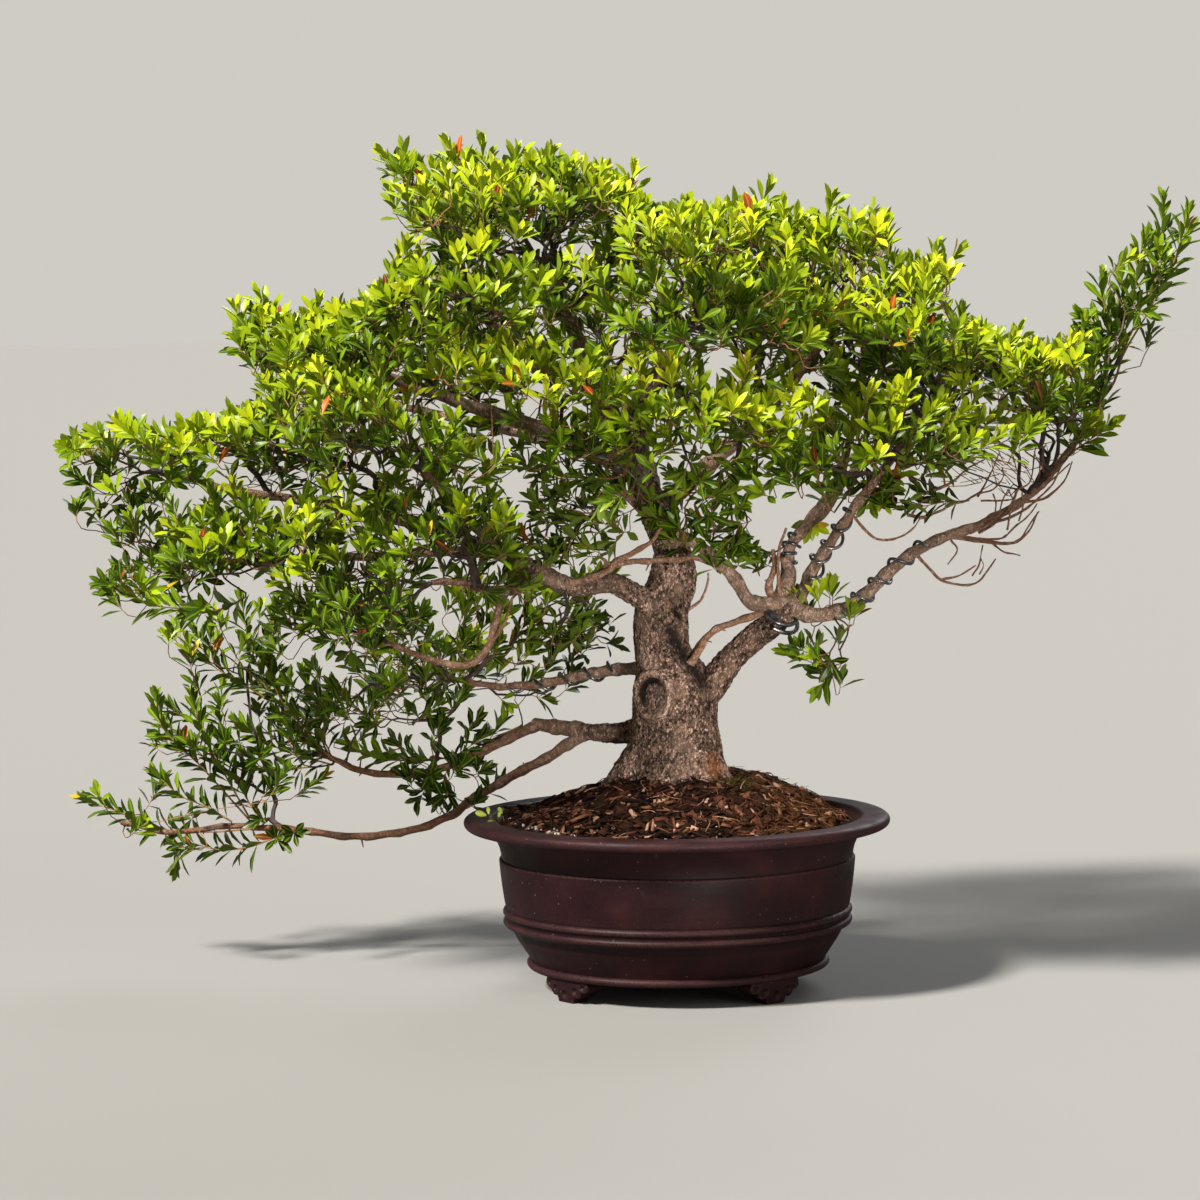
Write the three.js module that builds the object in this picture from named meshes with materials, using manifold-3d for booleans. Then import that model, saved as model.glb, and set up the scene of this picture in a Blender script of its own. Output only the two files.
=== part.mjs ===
// Satsuki azalea bonsai in a round stoneware pot.
//
// Millimetres, +Z up. Everything is laid out about the pot's axis, with the soles of the feet at Z = 0;
// the last lines move the whole tree so that the origin is the middle of its footprint on the ground.
// +X is the tree's right, -Y is its front. A route is a list of points [x, y, z, radius].

import * as THREE from 'three';
import Module from 'manifold-3d';
import { mergeVertices } from 'three/addons/utils/BufferGeometryUtils.js';

const wasm = await Module();
wasm.setup();

// ---------------------------------------------------------------- driving dimensions

const FIT_GAP = 0.3; // clearance between pieces that touch
const WALL_GAP = 0.4; // clearance of soil and mulch to the pot's wall
const ROUND_STEPS = 32; // facets round the pot, the soil and the mulch

const RIM_RADIUS = 172.5;
const POT_HEIGHT = 140;
const LIP_THICKNESS = 9;
const LIP_INNER_RADIUS = 149;
const FLOOR_TOP = 29;
const FLOOR_RISE = 1; // from the middle of the floor to its edge
const FOOT_HEIGHT = 18;
const FOOT_RADIUS = 119; // to the outer face of a foot
const FOOT_DEPTH = 16;
const FOOT_WIDTH = 65;
const FOOT_ANGLES = { front_right: -50, front_left: -141, back_right: 40, back_left: 129 };
const DRAIN_RADIUS = 17;
const DRAIN_OFFSETS = [-52, 52];
const SCREEN_SIDE = 52;
const SCREEN_THICKNESS = 1.2;
const SCREEN_PITCH = 14;
const SCREEN_HOLE = 9;

const MULCH_EDGE_HEIGHT = 134; // top of the mulch where it meets the wall
const MOUND_HEIGHT = 170; // top of the mulch at the trunk
const MOUND_RADIUS = 38; // where the mound starts to fall away
const MULCH_THICKNESS = 12;
const SOIL_SAG = 2; // the soil lies this much lower than an even mulch would need

const WIRE_RADIUS = 1.3;
const HEAVY_WIRE_RADIUS = 1.8;

const WHORL_RADIUS = 25; // leaf tip to the middle of its whorl
const WHORL_TIPS = 4;
const OWN_WHORL_SPACING = 0.96; // of two whorl radii, between neighbours on one branchlet
const TWIG_RADIUS = 1.1;
const TWIG_CLEARANCE = 1; // kept round wood and twigs when another twig is placed
const LOWEST_WHORL = 95; // no whorl hangs below this height
const STEM_STEP = 45; // length of a straight piece of a branchlet's stem

// ---------------------------------------------------------------- materials

const finish = (color, roughness, metalness = 0) =>
  new THREE.MeshStandardMaterial({ color, roughness, metalness, flatShading: true });

const stoneware = finish(0x3b2a2a, 0.55);
const screenPlastic = finish(0x1e1f21, 0.6);
const darkSoil = finish(0x2e221b, 0.95);
const barkChips = finish(0x6b4630, 0.9);
const bark = finish(0x8a7662, 0.85);
const leaf = finish(0x6f9a2c, 0.45);
const wireMetal = finish(0x34373c, 0.35, 0.9);
const seedlingGreen = finish(0xb4c84a, 0.5);

// ---------------------------------------------------------------- solids and booleans

// A closed geometry as a solid. Its faces are turned to point outwards where they do not.
function solidOf(geometry) {
  const bare = geometry.clone();
  bare.deleteAttribute('normal');
  bare.deleteAttribute('uv');
  const welded = mergeVertices(bare, 1e-4);
  const vertProperties = Float32Array.from(welded.attributes.position.array);
  const triVerts = Uint32Array.from(welded.index.array);
  if (signedVolume(vertProperties, triVerts) < 0) {
    for (let i = 0; i < triVerts.length; i += 3) {
      [triVerts[i], triVerts[i + 1]] = [triVerts[i + 1], triVerts[i]];
    }
  }
  return new wasm.Manifold(new wasm.Mesh({ numProp: 3, vertProperties, triVerts }));
}

function signedVolume(positions, triangles) {
  const corner = (i) => new THREE.Vector3().fromArray(positions, triangles[i] * 3);
  let sum = 0;
  for (let i = 0; i < triangles.length; i += 3) {
    sum += corner(i).dot(corner(i + 1).cross(corner(i + 2)));
  }
  return sum;
}

function geometryOf(solid) {
  const { vertProperties, triVerts } = solid.getMesh();
  const geometry = new THREE.BufferGeometry();
  geometry.setAttribute('position', new THREE.Float32BufferAttribute(vertProperties, 3));
  geometry.setIndex(new THREE.Uint32BufferAttribute(triVerts, 1));
  geometry.computeVertexNormals();
  return geometry;
}

const joined = (solids) => solids.reduce((whole, piece) => whole.add(piece));

const largestBody = (solid) =>
  solid.decompose().reduce((best, body) => (body.volume() > best.volume() ? body : best));

const group = new THREE.Group();

function addNode(name, solid, material) {
  const mesh = new THREE.Mesh(geometryOf(solid), material);
  mesh.name = name;
  group.add(mesh);
}

// ---------------------------------------------------------------- tapered tubes

const curveOf = (route) =>
  new THREE.CatmullRomCurve3(route.map(([x, y, z]) => new THREE.Vector3(x, y, z)), false, 'centripetal');

// Radius of a route at t, where t runs evenly from point to point.
function radiusAt(route, t) {
  const place = t * (route.length - 1);
  const i = Math.min(Math.floor(place), route.length - 2);
  return THREE.MathUtils.lerp(route[i][3], route[i + 1][3], place - i);
}

// A closed tube of rings round the points of a path. The rings keep their turn from one to the next.
function tube(points, radii, sides) {
  const last = points.length - 1;
  const across = new THREE.Vector3();
  const position = [];
  const index = [];
  points.forEach((point, i) => {
    const along = points[Math.min(i + 1, last)].clone().sub(points[Math.max(i - 1, 0)]).normalize();
    if (i === 0) across.set(0, 0, 1).cross(along);
    if (across.lengthSq() < 1e-3) across.set(1, 0, 0);
    across.addScaledVector(along, -across.dot(along)).normalize();
    const third = along.clone().cross(across);
    for (let s = 0; s < sides; s++) {
      const turn = (2 * Math.PI * s) / sides;
      const corner = point.clone();
      corner.addScaledVector(across, radii[i] * Math.cos(turn));
      corner.addScaledVector(third, radii[i] * Math.sin(turn));
      position.push(...corner);
    }
  });
  for (let i = 0; i < last; i++) {
    for (let s = 0; s < sides; s++) {
      const a = i * sides + s;
      const b = i * sides + ((s + 1) % sides);
      index.push(a, b, b + sides, a, b + sides, a + sides);
    }
  }
  for (let s = 1; s < sides - 1; s++) {
    index.push(0, s + 1, s);
    index.push(last * sides, last * sides + s, last * sides + s + 1);
  }
  const geometry = new THREE.BufferGeometry();
  geometry.setAttribute('position', new THREE.Float32BufferAttribute(position, 3));
  geometry.setIndex(index);
  return solidOf(geometry);
}

function limbTube(route, sides, stepsPerPoint, grow = 0) {
  const steps = (route.length - 1) * stepsPerPoint;
  const curve = curveOf(route);
  const points = [];
  const radii = [];
  for (let i = 0; i <= steps; i++) {
    points.push(curve.getPoint(i / steps));
    radii.push(radiusAt(route, i / steps) + grow);
  }
  return tube(points, radii, sides);
}

// ---------------------------------------------------------------- pot

// Inner wall from the lip down to the floor, as [radius, height].
const CAVITY = [
  [LIP_INNER_RADIUS, POT_HEIGHT],
  [145, 136],
  [142, 124],
  [137, 104],
  [130, 70],
  [122, 45],
  [110, FLOOR_TOP + FLOOR_RISE],
];

function cavityRadius(height) {
  const lower = CAVITY.findIndex(([, z]) => z <= height);
  if (lower <= 0) return CAVITY[lower === 0 ? 0 : CAVITY.length - 1][0];
  const [r1, z1] = CAVITY[lower];
  const [r0, z0] = CAVITY[lower - 1];
  return THREE.MathUtils.mapLinear(height, z1, z0, r1, r0);
}

function potShell() {
  const lipBottom = POT_HEIGHT - LIP_THICKNESS;
  const outline = [
    [0, FOOT_HEIGHT],
    [119, FOOT_HEIGHT],
    // ledge bead
    [122.3, 19.5],
    [122.3, 24],
    [120, 26],
    // bowl below the beads
    [127, 36],
    [134, 50],
    // double bead
    [138.5, 51.5],
    [141, 55],
    [138.6, 59.5],
    [141.3, 64],
    [139, 67.5],
    // belly, step line and hollow neck
    [142.3, 88],
    [144, 106],
    [142.4, 107.5],
    [150, 128],
    // lip
    [154, lipBottom],
    [RIM_RADIUS - 2.5, lipBottom],
    [RIM_RADIUS, lipBottom + 3.5],
    [RIM_RADIUS - 0.8, POT_HEIGHT - 1.6],
    [RIM_RADIUS - 4, POT_HEIGHT],
    ...CAVITY,
    [0, FLOOR_TOP],
  ];
  const profile = outline.map(([r, z]) => new THREE.Vector2(r, z));
  return solidOf(new THREE.LatheGeometry(profile, ROUND_STEPS).rotateX(Math.PI / 2));
}

// One foot: a cloud outline with scalloped shoulders, cut from a slab and set square to the radius.
// It is luted to the flat underside of the bowl.
function foot(angle) {
  const outline = new THREE.Shape();
  const half = FOOT_WIDTH / 2;
  outline.moveTo(-half, FOOT_HEIGHT - FIT_GAP);
  outline.lineTo(-half, FOOT_HEIGHT - 3);
  outline.quadraticCurveTo(-27, FOOT_HEIGHT - 8, -22, FOOT_HEIGHT - 6);
  outline.quadraticCurveTo(-21, FOOT_HEIGHT - 13, -14, 5);
  outline.quadraticCurveTo(-14, 0, -10, 0);
  outline.lineTo(10, 0);
  outline.quadraticCurveTo(14, 0, 14, 5);
  outline.quadraticCurveTo(21, FOOT_HEIGHT - 13, 22, FOOT_HEIGHT - 6);
  outline.quadraticCurveTo(27, FOOT_HEIGHT - 8, half, FOOT_HEIGHT - 3);
  outline.lineTo(half, FOOT_HEIGHT - FIT_GAP);
  const slab = new THREE.ExtrudeGeometry(outline, { depth: FOOT_DEPTH, bevelEnabled: false, curveSegments: 3 });
  slab.rotateX(Math.PI / 2);
  slab.translate(0, FOOT_DEPTH - FOOT_RADIUS, 0);
  slab.rotateZ(THREE.MathUtils.degToRad(angle + 90));
  return solidOf(slab);
}

function pot() {
  const holes = DRAIN_OFFSETS.map((x) => {
    const drill = new THREE.CylinderGeometry(DRAIN_RADIUS, DRAIN_RADIUS, FLOOR_TOP, 16).rotateX(Math.PI / 2);
    return solidOf(drill.translate(x, 0, FLOOR_TOP));
  });
  return potShell().subtract(joined(holes));
}

// ---------------------------------------------------------------- drainage screens

const SCREEN_BASE = FLOOR_TOP + FLOOR_RISE + FIT_GAP;
const POCKET_DEPTH = 5.2; // deeper than the screen, so that the pocket opens through the soil's base

function screen(x) {
  const box = (width, depth, cx, cy) => {
    return solidOf(new THREE.BoxGeometry(width, width, depth).translate(cx, cy, SCREEN_BASE + SCREEN_THICKNESS / 2));
  };
  const grid = [-SCREEN_PITCH, 0, SCREEN_PITCH];
  const holes = grid.flatMap((dx) => grid.map((dy) => box(SCREEN_HOLE, 2 * SCREEN_THICKNESS, x + dx, dy)));
  return box(SCREEN_SIDE, SCREEN_THICKNESS, x, 0).subtract(joined(holes));
}

function screenPocket(x) {
  const side = SCREEN_SIDE + 2 * FIT_GAP;
  const pocket = new THREE.BoxGeometry(side, side, POCKET_DEPTH);
  return solidOf(pocket.translate(x, 0, SCREEN_BASE + SCREEN_THICKNESS + FIT_GAP - POCKET_DEPTH / 2));
}

// ---------------------------------------------------------------- soil and mulch

// A solid of rings round the Z axis, closed by a point on the axis below and above. Each ring is
// [radius, height], where height may be a function of the angle.
function ringSolid(bottom, rings, top) {
  const position = [0, 0, bottom];
  const index = [];
  for (const [radius, height] of rings) {
    for (let s = 0; s < ROUND_STEPS; s++) {
      const angle = (2 * Math.PI * s) / ROUND_STEPS;
      const z = typeof height === 'function' ? height(angle) : height;
      position.push(radius * Math.sin(angle), -radius * Math.cos(angle), z);
    }
  }
  const topPoint = position.length / 3;
  position.push(0, 0, top);
  const lastRing = topPoint - ROUND_STEPS;
  for (let s = 0; s < ROUND_STEPS; s++) {
    const next = (s + 1) % ROUND_STEPS;
    index.push(0, 1 + next, 1 + s, topPoint, lastRing + s, lastRing + next);
    for (let ring = 1; ring < lastRing; ring += ROUND_STEPS) {
      const [a, b] = [ring + s, ring + next];
      index.push(a, b, b + ROUND_STEPS, a, b + ROUND_STEPS, a + ROUND_STEPS);
    }
  }
  const geometry = new THREE.BufferGeometry();
  geometry.setAttribute('position', new THREE.Float32BufferAttribute(position, 3));
  geometry.setIndex(index);
  return solidOf(geometry);
}

// Height of the mound, from the edge up to the trunk. It falls away later on the tree's right.
function moundHeight(radius, angle) {
  const side = Math.sin(angle);
  const edge = cavityRadius(MULCH_EDGE_HEIGHT);
  const start = MOUND_RADIUS + 14 * Math.max(side, 0);
  const fall = THREE.MathUtils.smoothstep(radius, start, edge + 12 * side);
  const lumps = 1.4 * Math.sin(5 * angle + radius / 9) + 1.1 * Math.sin(8 * angle - radius / 6);
  return THREE.MathUtils.lerp(MOUND_HEIGHT, MULCH_EDGE_HEIGHT, fall) + lumps;
}

const TOP_RINGS = [122, 92, 62, 30];
const SOIL_EDGE_HEIGHT = MULCH_EDGE_HEIGHT - MULCH_THICKNESS;

function soilHeight(radius) {
  const fall = THREE.MathUtils.smoothstep(radius, MOUND_RADIUS, cavityRadius(SOIL_EDGE_HEIGHT));
  return THREE.MathUtils.lerp(MOUND_HEIGHT - MULCH_THICKNESS, SOIL_EDGE_HEIGHT, fall) - SOIL_SAG;
}

function soilBody() {
  const levels = [SCREEN_BASE, 45, 70, 104, SOIL_EDGE_HEIGHT - SOIL_SAG];
  const wall = levels.map((z) => [cavityRadius(z) - WALL_GAP, z]);
  const mound = TOP_RINGS.map((r) => [r, soilHeight(r)]);
  return ringSolid(SCREEN_BASE, [...wall, ...mound], soilHeight(0));
}

function mulchBody() {
  const below = [...TOP_RINGS].reverse().map((r) => [r, soilHeight(r) + FIT_GAP]);
  const skirt = SOIL_EDGE_HEIGHT - SOIL_SAG + FIT_GAP;
  const wall = [
    [cavityRadius(skirt) - WALL_GAP, skirt],
    [cavityRadius(MULCH_EDGE_HEIGHT) - 1.5 * WALL_GAP, MULCH_EDGE_HEIGHT - 1],
  ];
  const above = TOP_RINGS.map((r) => [r, (angle) => moundHeight(r, angle)]);
  return ringSolid(soilHeight(0) + FIT_GAP, [...below, ...wall, ...above], MOUND_HEIGHT);
}

// ---------------------------------------------------------------- trunk, roots and limbs

const LIMBS = {
  trunk: [
    [0, 2, 118, 40], [0, 2, 159, 42], [1, 2, 191, 37.5], [-1, 0, 216, 34.5], [-1, 0, 240, 34],
    [-9, 0, 269, 23.5], [-10, 0, 302, 23], [-2, 0, 325, 19.5], [-1, 0, 340, 18.5], [-2, 2, 355, 15.5],
    [-11, 6, 378, 13.5], [-26, 10, 410, 11.5], [-45, 14, 451, 9.5], [-66, 16, 499, 7.5],
    [-84, 14, 548, 5.5], [-98, 10, 587, 4],
  ],
  left_arching: [
    [-10, -6, 305, 10], [-32, -16, 320, 9], [-52, -27, 330, 8.5], [-76, -38, 327, 7.5],
    [-91, -46, 333, 7], [-115, -54, 346, 6.5], [-154, -58, 363, 5.5], [-209, -56, 382, 4.5],
    [-273, -50, 396, 3.8], [-340, -44, 407, 3], [-404, -38, 421, 2.4],
  ],
  left_low: [
    [-138, -58, 357, 4.6], [-185, -66, 359, 4], [-241, -64, 356, 3.4], [-301, -56, 353, 2.8],
    [-365, -48, 352, 2.2],
  ],
  low_front_left: [
    [-91, -46, 332, 5], [-109, -58, 337, 4.6], [-125, -70, 328, 4], [-147, -82, 330, 3.4],
    [-169, -92, 336, 2.8], [-192, -100, 337, 2.2],
  ],
  hanging: [
    [-116, -54, 345, 4], [-132, -62, 330, 3.4], [-140, -68, 312, 3.2], [-148, -74, 285, 3],
    [-164, -80, 270, 2.8], [-194, -88, 276, 2.4], [-227, -95, 290, 2],
  ],
  crossing: [[-88, -46, 333, 3], [-67, -62, 336, 2.8], [-45, -66, 347, 2.6], [-20, -64, 364, 2.4]],
  front_left: [[-134, -58, 354, 5], [-153, -96, 377, 4], [-175, -128, 403, 3.2], [-197, -148, 428, 2.4]],
  right: [
    [12, -4, 233, 15], [29, -10, 246, 13], [46, -14, 268, 11.5], [65, -18, 285, 11],
    [81, -21, 297, 10.5], [90, -22, 313, 11],
  ],
  inner_right: [
    [89, -24, 314, 7], [74, -30, 313, 6], [60, -35, 316, 5.5], [48, -38, 332, 5],
    [34, -40, 348, 5], [19, -42, 360, 4.6], [-2, -42, 372, 4], [-27, -60, 391, 3.2], [-59, -95, 423, 2.6],
  ],
  upright_right: [
    [90, -20, 314, 6], [90, -14, 333, 5.2], [93, -6, 355, 4.6], [107, 4, 371, 4],
    [129, 16, 392, 3.6], [144, 24, 440, 3], [154, 20, 497, 2.4], [159, 14, 545, 2],
  ],
  leaning_right: [
    [92, -26, 311, 6], [101, -32, 320, 5.2], [111, -40, 342, 4.6], [125, -48, 363, 4],
    [140, -56, 387, 3.6], [170, -62, 425, 3.2], [206, -66, 466, 2.4],
  ],
  main_right: [
    [91, -24, 310, 7], [106, -28, 303, 6], [130, -30, 305, 5.6], [150, -28, 316, 5.2],
    [168, -24, 333, 4.8], [192, -18, 351, 4.4], [218, -12, 363, 4], [246, -6, 372, 3.6],
    [279, 0, 389, 3.2], [308, 2, 415, 2.8], [332, 0, 451, 2.4],
  ],
  back_right: [[99, 0, 363, 4.4], [126, 48, 391, 4], [167, 94, 425, 3.2], [214, 126, 460, 2.4]],
  back_left_wired: [
    [-20, 12, 258, 6], [-38, 28, 256, 5], [-61, 46, 252, 4.6], [-84, 64, 246, 4],
    [-110, 84, 239, 3.4], [-144, 106, 236, 2.8], [-182, 122, 240, 2.2],
  ],
  back_low: [
    [-16, 14, 214, 11], [-38, 34, 204, 9], [-57, 54, 201, 8], [-76, 74, 201, 7],
    [-96, 94, 202, 6], [-115, 110, 203, 5],
  ],
  long_trailing: [
    [-70, 68, 201, 5.5], [-89, 84, 188, 4.6], [-118, 104, 169, 4], [-147, 122, 152, 3.8],
    [-170, 130, 138, 3.6], [-192, 136, 122, 3.4], [-231, 138, 110, 3.2], [-278, 140, 107, 3],
    [-324, 140, 113, 2.8], [-375, 140, 117, 2.4], [-426, 140, 112, 2], [-467, 138, 122, 1.8],
  ],
  second_trailing: [
    [-112, 107, 203, 4.5], [-145, 122, 187, 3.8], [-184, 134, 168, 3.3], [-222, 142, 159, 3],
    [-265, 148, 162, 2.6], [-299, 152, 179, 2.3], [-328, 152, 208, 2],
  ],
  upper_left: [
    [-31, 9, 419, 8.5], [-70, -4, 439, 7], [-114, -18, 457, 5.8], [-165, -32, 474, 4.8],
    [-216, -40, 493, 3.8], [-267, -42, 514, 3], [-303, -40, 528, 2.4],
  ],
  upper_right: [
    [-14, 6, 385, 9], [18, 2, 412, 7], [50, -6, 442, 5.8], [85, -14, 476, 4.6],
    [114, -20, 514, 3.6], [138, -22, 553, 2.8],
  ],
  upper_front: [
    [-26, 6, 412, 7], [-25, -40, 438, 5.6], [-19, -84, 469, 4.6], [-8, -122, 504, 3.4], [1, -142, 530, 2.4],
  ],
  upper_back_right: [
    [-42, 15, 446, 7], [-25, 56, 474, 5.6], [2, 96, 512, 4.6], [31, 124, 551, 3.4], [52, 136, 582, 2.4],
  ],
  upper_back_left: [
    [-31, 12, 420, 7], [-75, 66, 433, 5.6], [-133, 112, 449, 4.6], [-201, 146, 464, 3.4], [-250, 160, 476, 2.4],
  ],
  front_centre: [[-57, 13, 477, 6], [-89, -44, 501, 4.6], [-120, -92, 521, 3.4], [-142, -120, 539, 2.4]],
  back_centre: [[-14, 8, 388, 6], [-17, 64, 416, 5], [-25, 116, 439, 4], [-34, 160, 463, 3], [-45, 184, 484, 2.4]],
  apex_left: [[-80, 14, 538, 5], [-113, 8, 564, 4.2], [-149, 2, 593, 3.4], [-184, -2, 625, 2.6], [-206, -4, 649, 2]],
};

const ROOTS = [
  [[-12, 2, 208, 22], [-34, -4, 184, 15], [-56, -8, 164, 10], [-84, -14, 140, 6]],
  [[10, 2, 204, 22], [27, -6, 184, 15], [42, -12, 166, 11], [66, -22, 140, 6]],
  [[-6, -8, 196, 22], [-14, -28, 178, 15], [-22, -46, 158, 10], [-32, -68, 134, 5]],
  [[8, -8, 196, 22], [18, -26, 178, 14], [27, -42, 158, 10], [42, -62, 134, 5]],
  [[0, 12, 200, 22], [4, 34, 182, 15], [8, 54, 162, 10], [12, 78, 136, 6]],
  [[-12, 8, 200, 20], [-34, 28, 178, 13], [-52, 44, 158, 8], [-70, 60, 134, 5]],
];

// More facets on thick wood than on thin.
const sidesFor = (radius) => (radius > 8 ? 7 : radius > 5 ? 5 : 4);

function stumpBody(grow) {
  return joined([limbTube(LIMBS.trunk, 11, 1, grow), ...ROOTS.map((route) => limbTube(route, 6, 1, grow))]);
}

function woodBody(grow = 0) {
  const limbs = Object.entries(LIMBS).filter(([name]) => name !== 'trunk');
  return joined([stumpBody(grow), ...limbs.map(([, route]) => limbTube(route, sidesFor(route[0][3]), 1, grow))]);
}

// ---------------------------------------------------------------- training wire

// A wire wound on a limb from t0 to t1. The straight steps of the winding stay clear of the bark.
function windWire(limbName, t0, t1, turns, wireRadius) {
  const route = LIMBS[limbName];
  const curve = curveOf(route);
  const stepsPerTurn = 8;
  const steps = turns * stepsPerTurn;
  const points = [];
  const across = new THREE.Vector3(0, -1, 0);
  for (let i = 0; i <= steps; i++) {
    const t = THREE.MathUtils.lerp(t0, t1, i / steps);
    const along = curve.getTangent(t);
    across.addScaledVector(along, -across.dot(along)).normalize();
    const turn = (2 * Math.PI * i) / stepsPerTurn;
    const out = across.clone().applyAxisAngle(along, turn);
    const clear = (radiusAt(route, t) + wireRadius + 2 * FIT_GAP) / Math.cos(Math.PI / stepsPerTurn);
    points.push(curve.getPoint(t).addScaledVector(out, clear));
  }
  return tube(points, points.map(() => wireRadius), 4);
}

const WIRES = {
  training_wire_heavy: ['right', 0.76, 0.86, 2, HEAVY_WIRE_RADIUS],
  training_wire_main_right: ['main_right', 0.24, 0.52, 5, WIRE_RADIUS],
  training_wire_leaning_right: ['leaning_right', 0.3, 0.68, 4, WIRE_RADIUS],
  training_wire_upright_right: ['upright_right', 0.2, 0.36, 3, WIRE_RADIUS],
  training_wire_low_left: ['back_left_wired', 0.3, 0.8, 6, WIRE_RADIUS],
};

// ---------------------------------------------------------------- leafy branchlets

// [limb it grows from, where on the limb, its tip, reach of its side twigs, number of whorls]
const BRANCHLETS = {
  apex_spike: ['apex_left', 0.97, [-214, -6, 658], 24, 5],
  apex_crown_left: ['apex_left', 0.6, [-166, 4, 648], 40, 5],
  apex_crown_back: ['trunk', 0.985, [-100, 40, 642], 42, 5],
  apex_crown_front: ['trunk', 0.955, [-113, -52, 615], 42, 4],
  apex_shoulder: ['trunk', 0.91, [-33, -8, 624], 44, 5],
  upper_back_spray: ['upper_back_right', 0.97, [28, 150, 604], 44, 5],
  upper_right_inner: ['upper_right', 0.72, [76, -8, 596], 42, 5],
  upper_right_end: ['upper_right', 0.98, [150, -26, 606], 38, 4],
  upper_right_front: ['upper_right', 0.5, [53, -110, 546], 46, 4],
  right_spike: ['upright_right', 0.97, [205, 6, 578], 32, 4],
  right_pad_crown: ['upright_right', 0.8, [123, 80, 525], 44, 4],
  right_pad_top: ['leaning_right', 0.97, [180, -90, 520], 46, 5],
  right_pad_front: ['leaning_right', 0.8, [156, -150, 440], 48, 4],
  right_pad_back: ['back_right', 0.97, [246, 160, 506], 46, 5],
  right_pad_outer: ['main_right', 0.82, [292, -34, 484], 42, 5],
  right_pad_end: ['main_right', 0.95, [341, 20, 446], 32, 4],
  far_right_shoots: ['main_right', 0.99, [403, 0, 614], 22, 7],
  upper_front_spray: ['upper_front', 0.97, [18, -190, 537], 46, 5],
  upper_front_low: ['upper_front', 0.6, [22, -160, 436], 46, 4],
  centre_front_spray: ['front_centre', 0.96, [-156, -150, 556], 48, 5],
  centre_front_low: ['front_centre', 0.5, [-89, -170, 449], 48, 4],
  upper_left_end: ['upper_left', 0.97, [-318, -44, 524], 40, 5],
  upper_left_mid: ['upper_left', 0.72, [-252, -70, 520], 44, 4],
  upper_left_back: ['upper_left', 0.55, [-196, 60, 552], 46, 4],
  back_left_spray: ['upper_back_left', 0.96, [-292, 190, 483], 48, 5],
  back_left_crown: ['upper_back_left', 0.5, [-163, 170, 520], 48, 4],
  back_centre_spray: ['back_centre', 0.96, [-57, 220, 514], 50, 5],
  left_end: ['left_arching', 0.985, [-470, -34, 443], 38, 5],
  left_mid: ['left_arching', 0.86, [-369, -74, 461], 46, 4],
  left_inner: ['left_arching', 0.7, [-269, -90, 449], 46, 4],
  left_low_end: ['left_low', 0.97, [-422, -44, 348], 42, 5],
  left_low_mid: ['left_low', 0.7, [-317, -100, 366], 46, 4],
  front_left_spray: ['front_left', 0.96, [-213, -190, 451], 48, 5],
  front_low_spray: ['low_front_left', 0.95, [-254, -118, 325], 44, 4],
  front_low_centre: ['low_front_left', 0.62, [-171, -130, 372], 42, 4],
  hanging_spray: ['hanging', 0.96, [-262, -104, 305], 36, 3],
  low_back_spray: ['back_left_wired', 0.96, [-234, 140, 240], 42, 4],
  second_trailing_end: ['second_trailing', 0.97, [-360, 150, 286], 36, 5],
  second_trailing_mid: ['second_trailing', 0.72, [-334, 182, 186], 38, 4],
  second_trailing_root: ['second_trailing', 0.4, [-197, 180, 218], 40, 4],
  trailing_shoot_high: ['long_trailing', 0.72, [-400, 150, 255], 24, 5],
  trailing_shoot_mid: ['long_trailing', 0.86, [-433, 134, 215], 24, 4],
  trailing_end: ['long_trailing', 0.985, [-478, 136, 140], 26, 3],
  hanging_right_sprig: ['main_right', 0.2, [115, -40, 262], 18, 3],
};

// A side twig with a whorl of pointed leaves on its end, as one closed shape: a three-sided twig that
// opens into a shallow star cup, thin at the leaf tips.
function twigWithWhorl(start, end, axis, radius) {
  const across = new THREE.Vector3(1, 0, 0).addScaledVector(axis, -axis.x).normalize();
  const position = [];
  const ring = (centre, normal, count, along, out, firstTurn = 0) => {
    for (let i = 0; i < count; i++) {
      const isTip = i % 2 === 0 || count === 3;
      const [lift, reach] = isTip ? [along[0], out[0]] : [along[1], out[1]];
      const direction = across.clone().applyAxisAngle(normal, firstTurn + (2 * Math.PI * i) / count);
      const point = centre.clone().addScaledVector(normal, lift).addScaledVector(direction, reach);
      position.push(...point);
    }
  };
  ring(start, axis, 3, [0], [TWIG_RADIUS]);
  ring(end, axis, 3, [-0.2 * radius], [TWIG_RADIUS]);
  ring(end, axis, 2 * WHORL_TIPS, [0.3 * radius, 0.04 * radius], [radius, 0.4 * radius]);
  position.push(...end.clone().addScaledVector(axis, 0.16 * radius));
  const index = [0, 2, 1];
  for (let i = 0; i < 3; i++) {
    const j = (i + 1) % 3;
    index.push(i, j, 3 + j, i, 3 + j, 3 + i);
  }
  const star = 6;
  const starPoints = 2 * WHORL_TIPS;
  const crown = star + starPoints;
  for (let i = 0; i < starPoints; i++) {
    const j = (i + 1) % starPoints;
    const near = 3 + (Math.round((3 * i) / starPoints) % 3);
    const next = 3 + (Math.round((3 * (i + 1)) / starPoints) % 3);
    index.push(near, star + j, star + i, crown, star + i, star + j);
    if (next !== near) index.push(near, next, star + j);
  }
  const geometry = new THREE.BufferGeometry();
  geometry.setAttribute('position', new THREE.Float32BufferAttribute(position, 3));
  geometry.setIndex(index);
  return solidOf(geometry);
}

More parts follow.
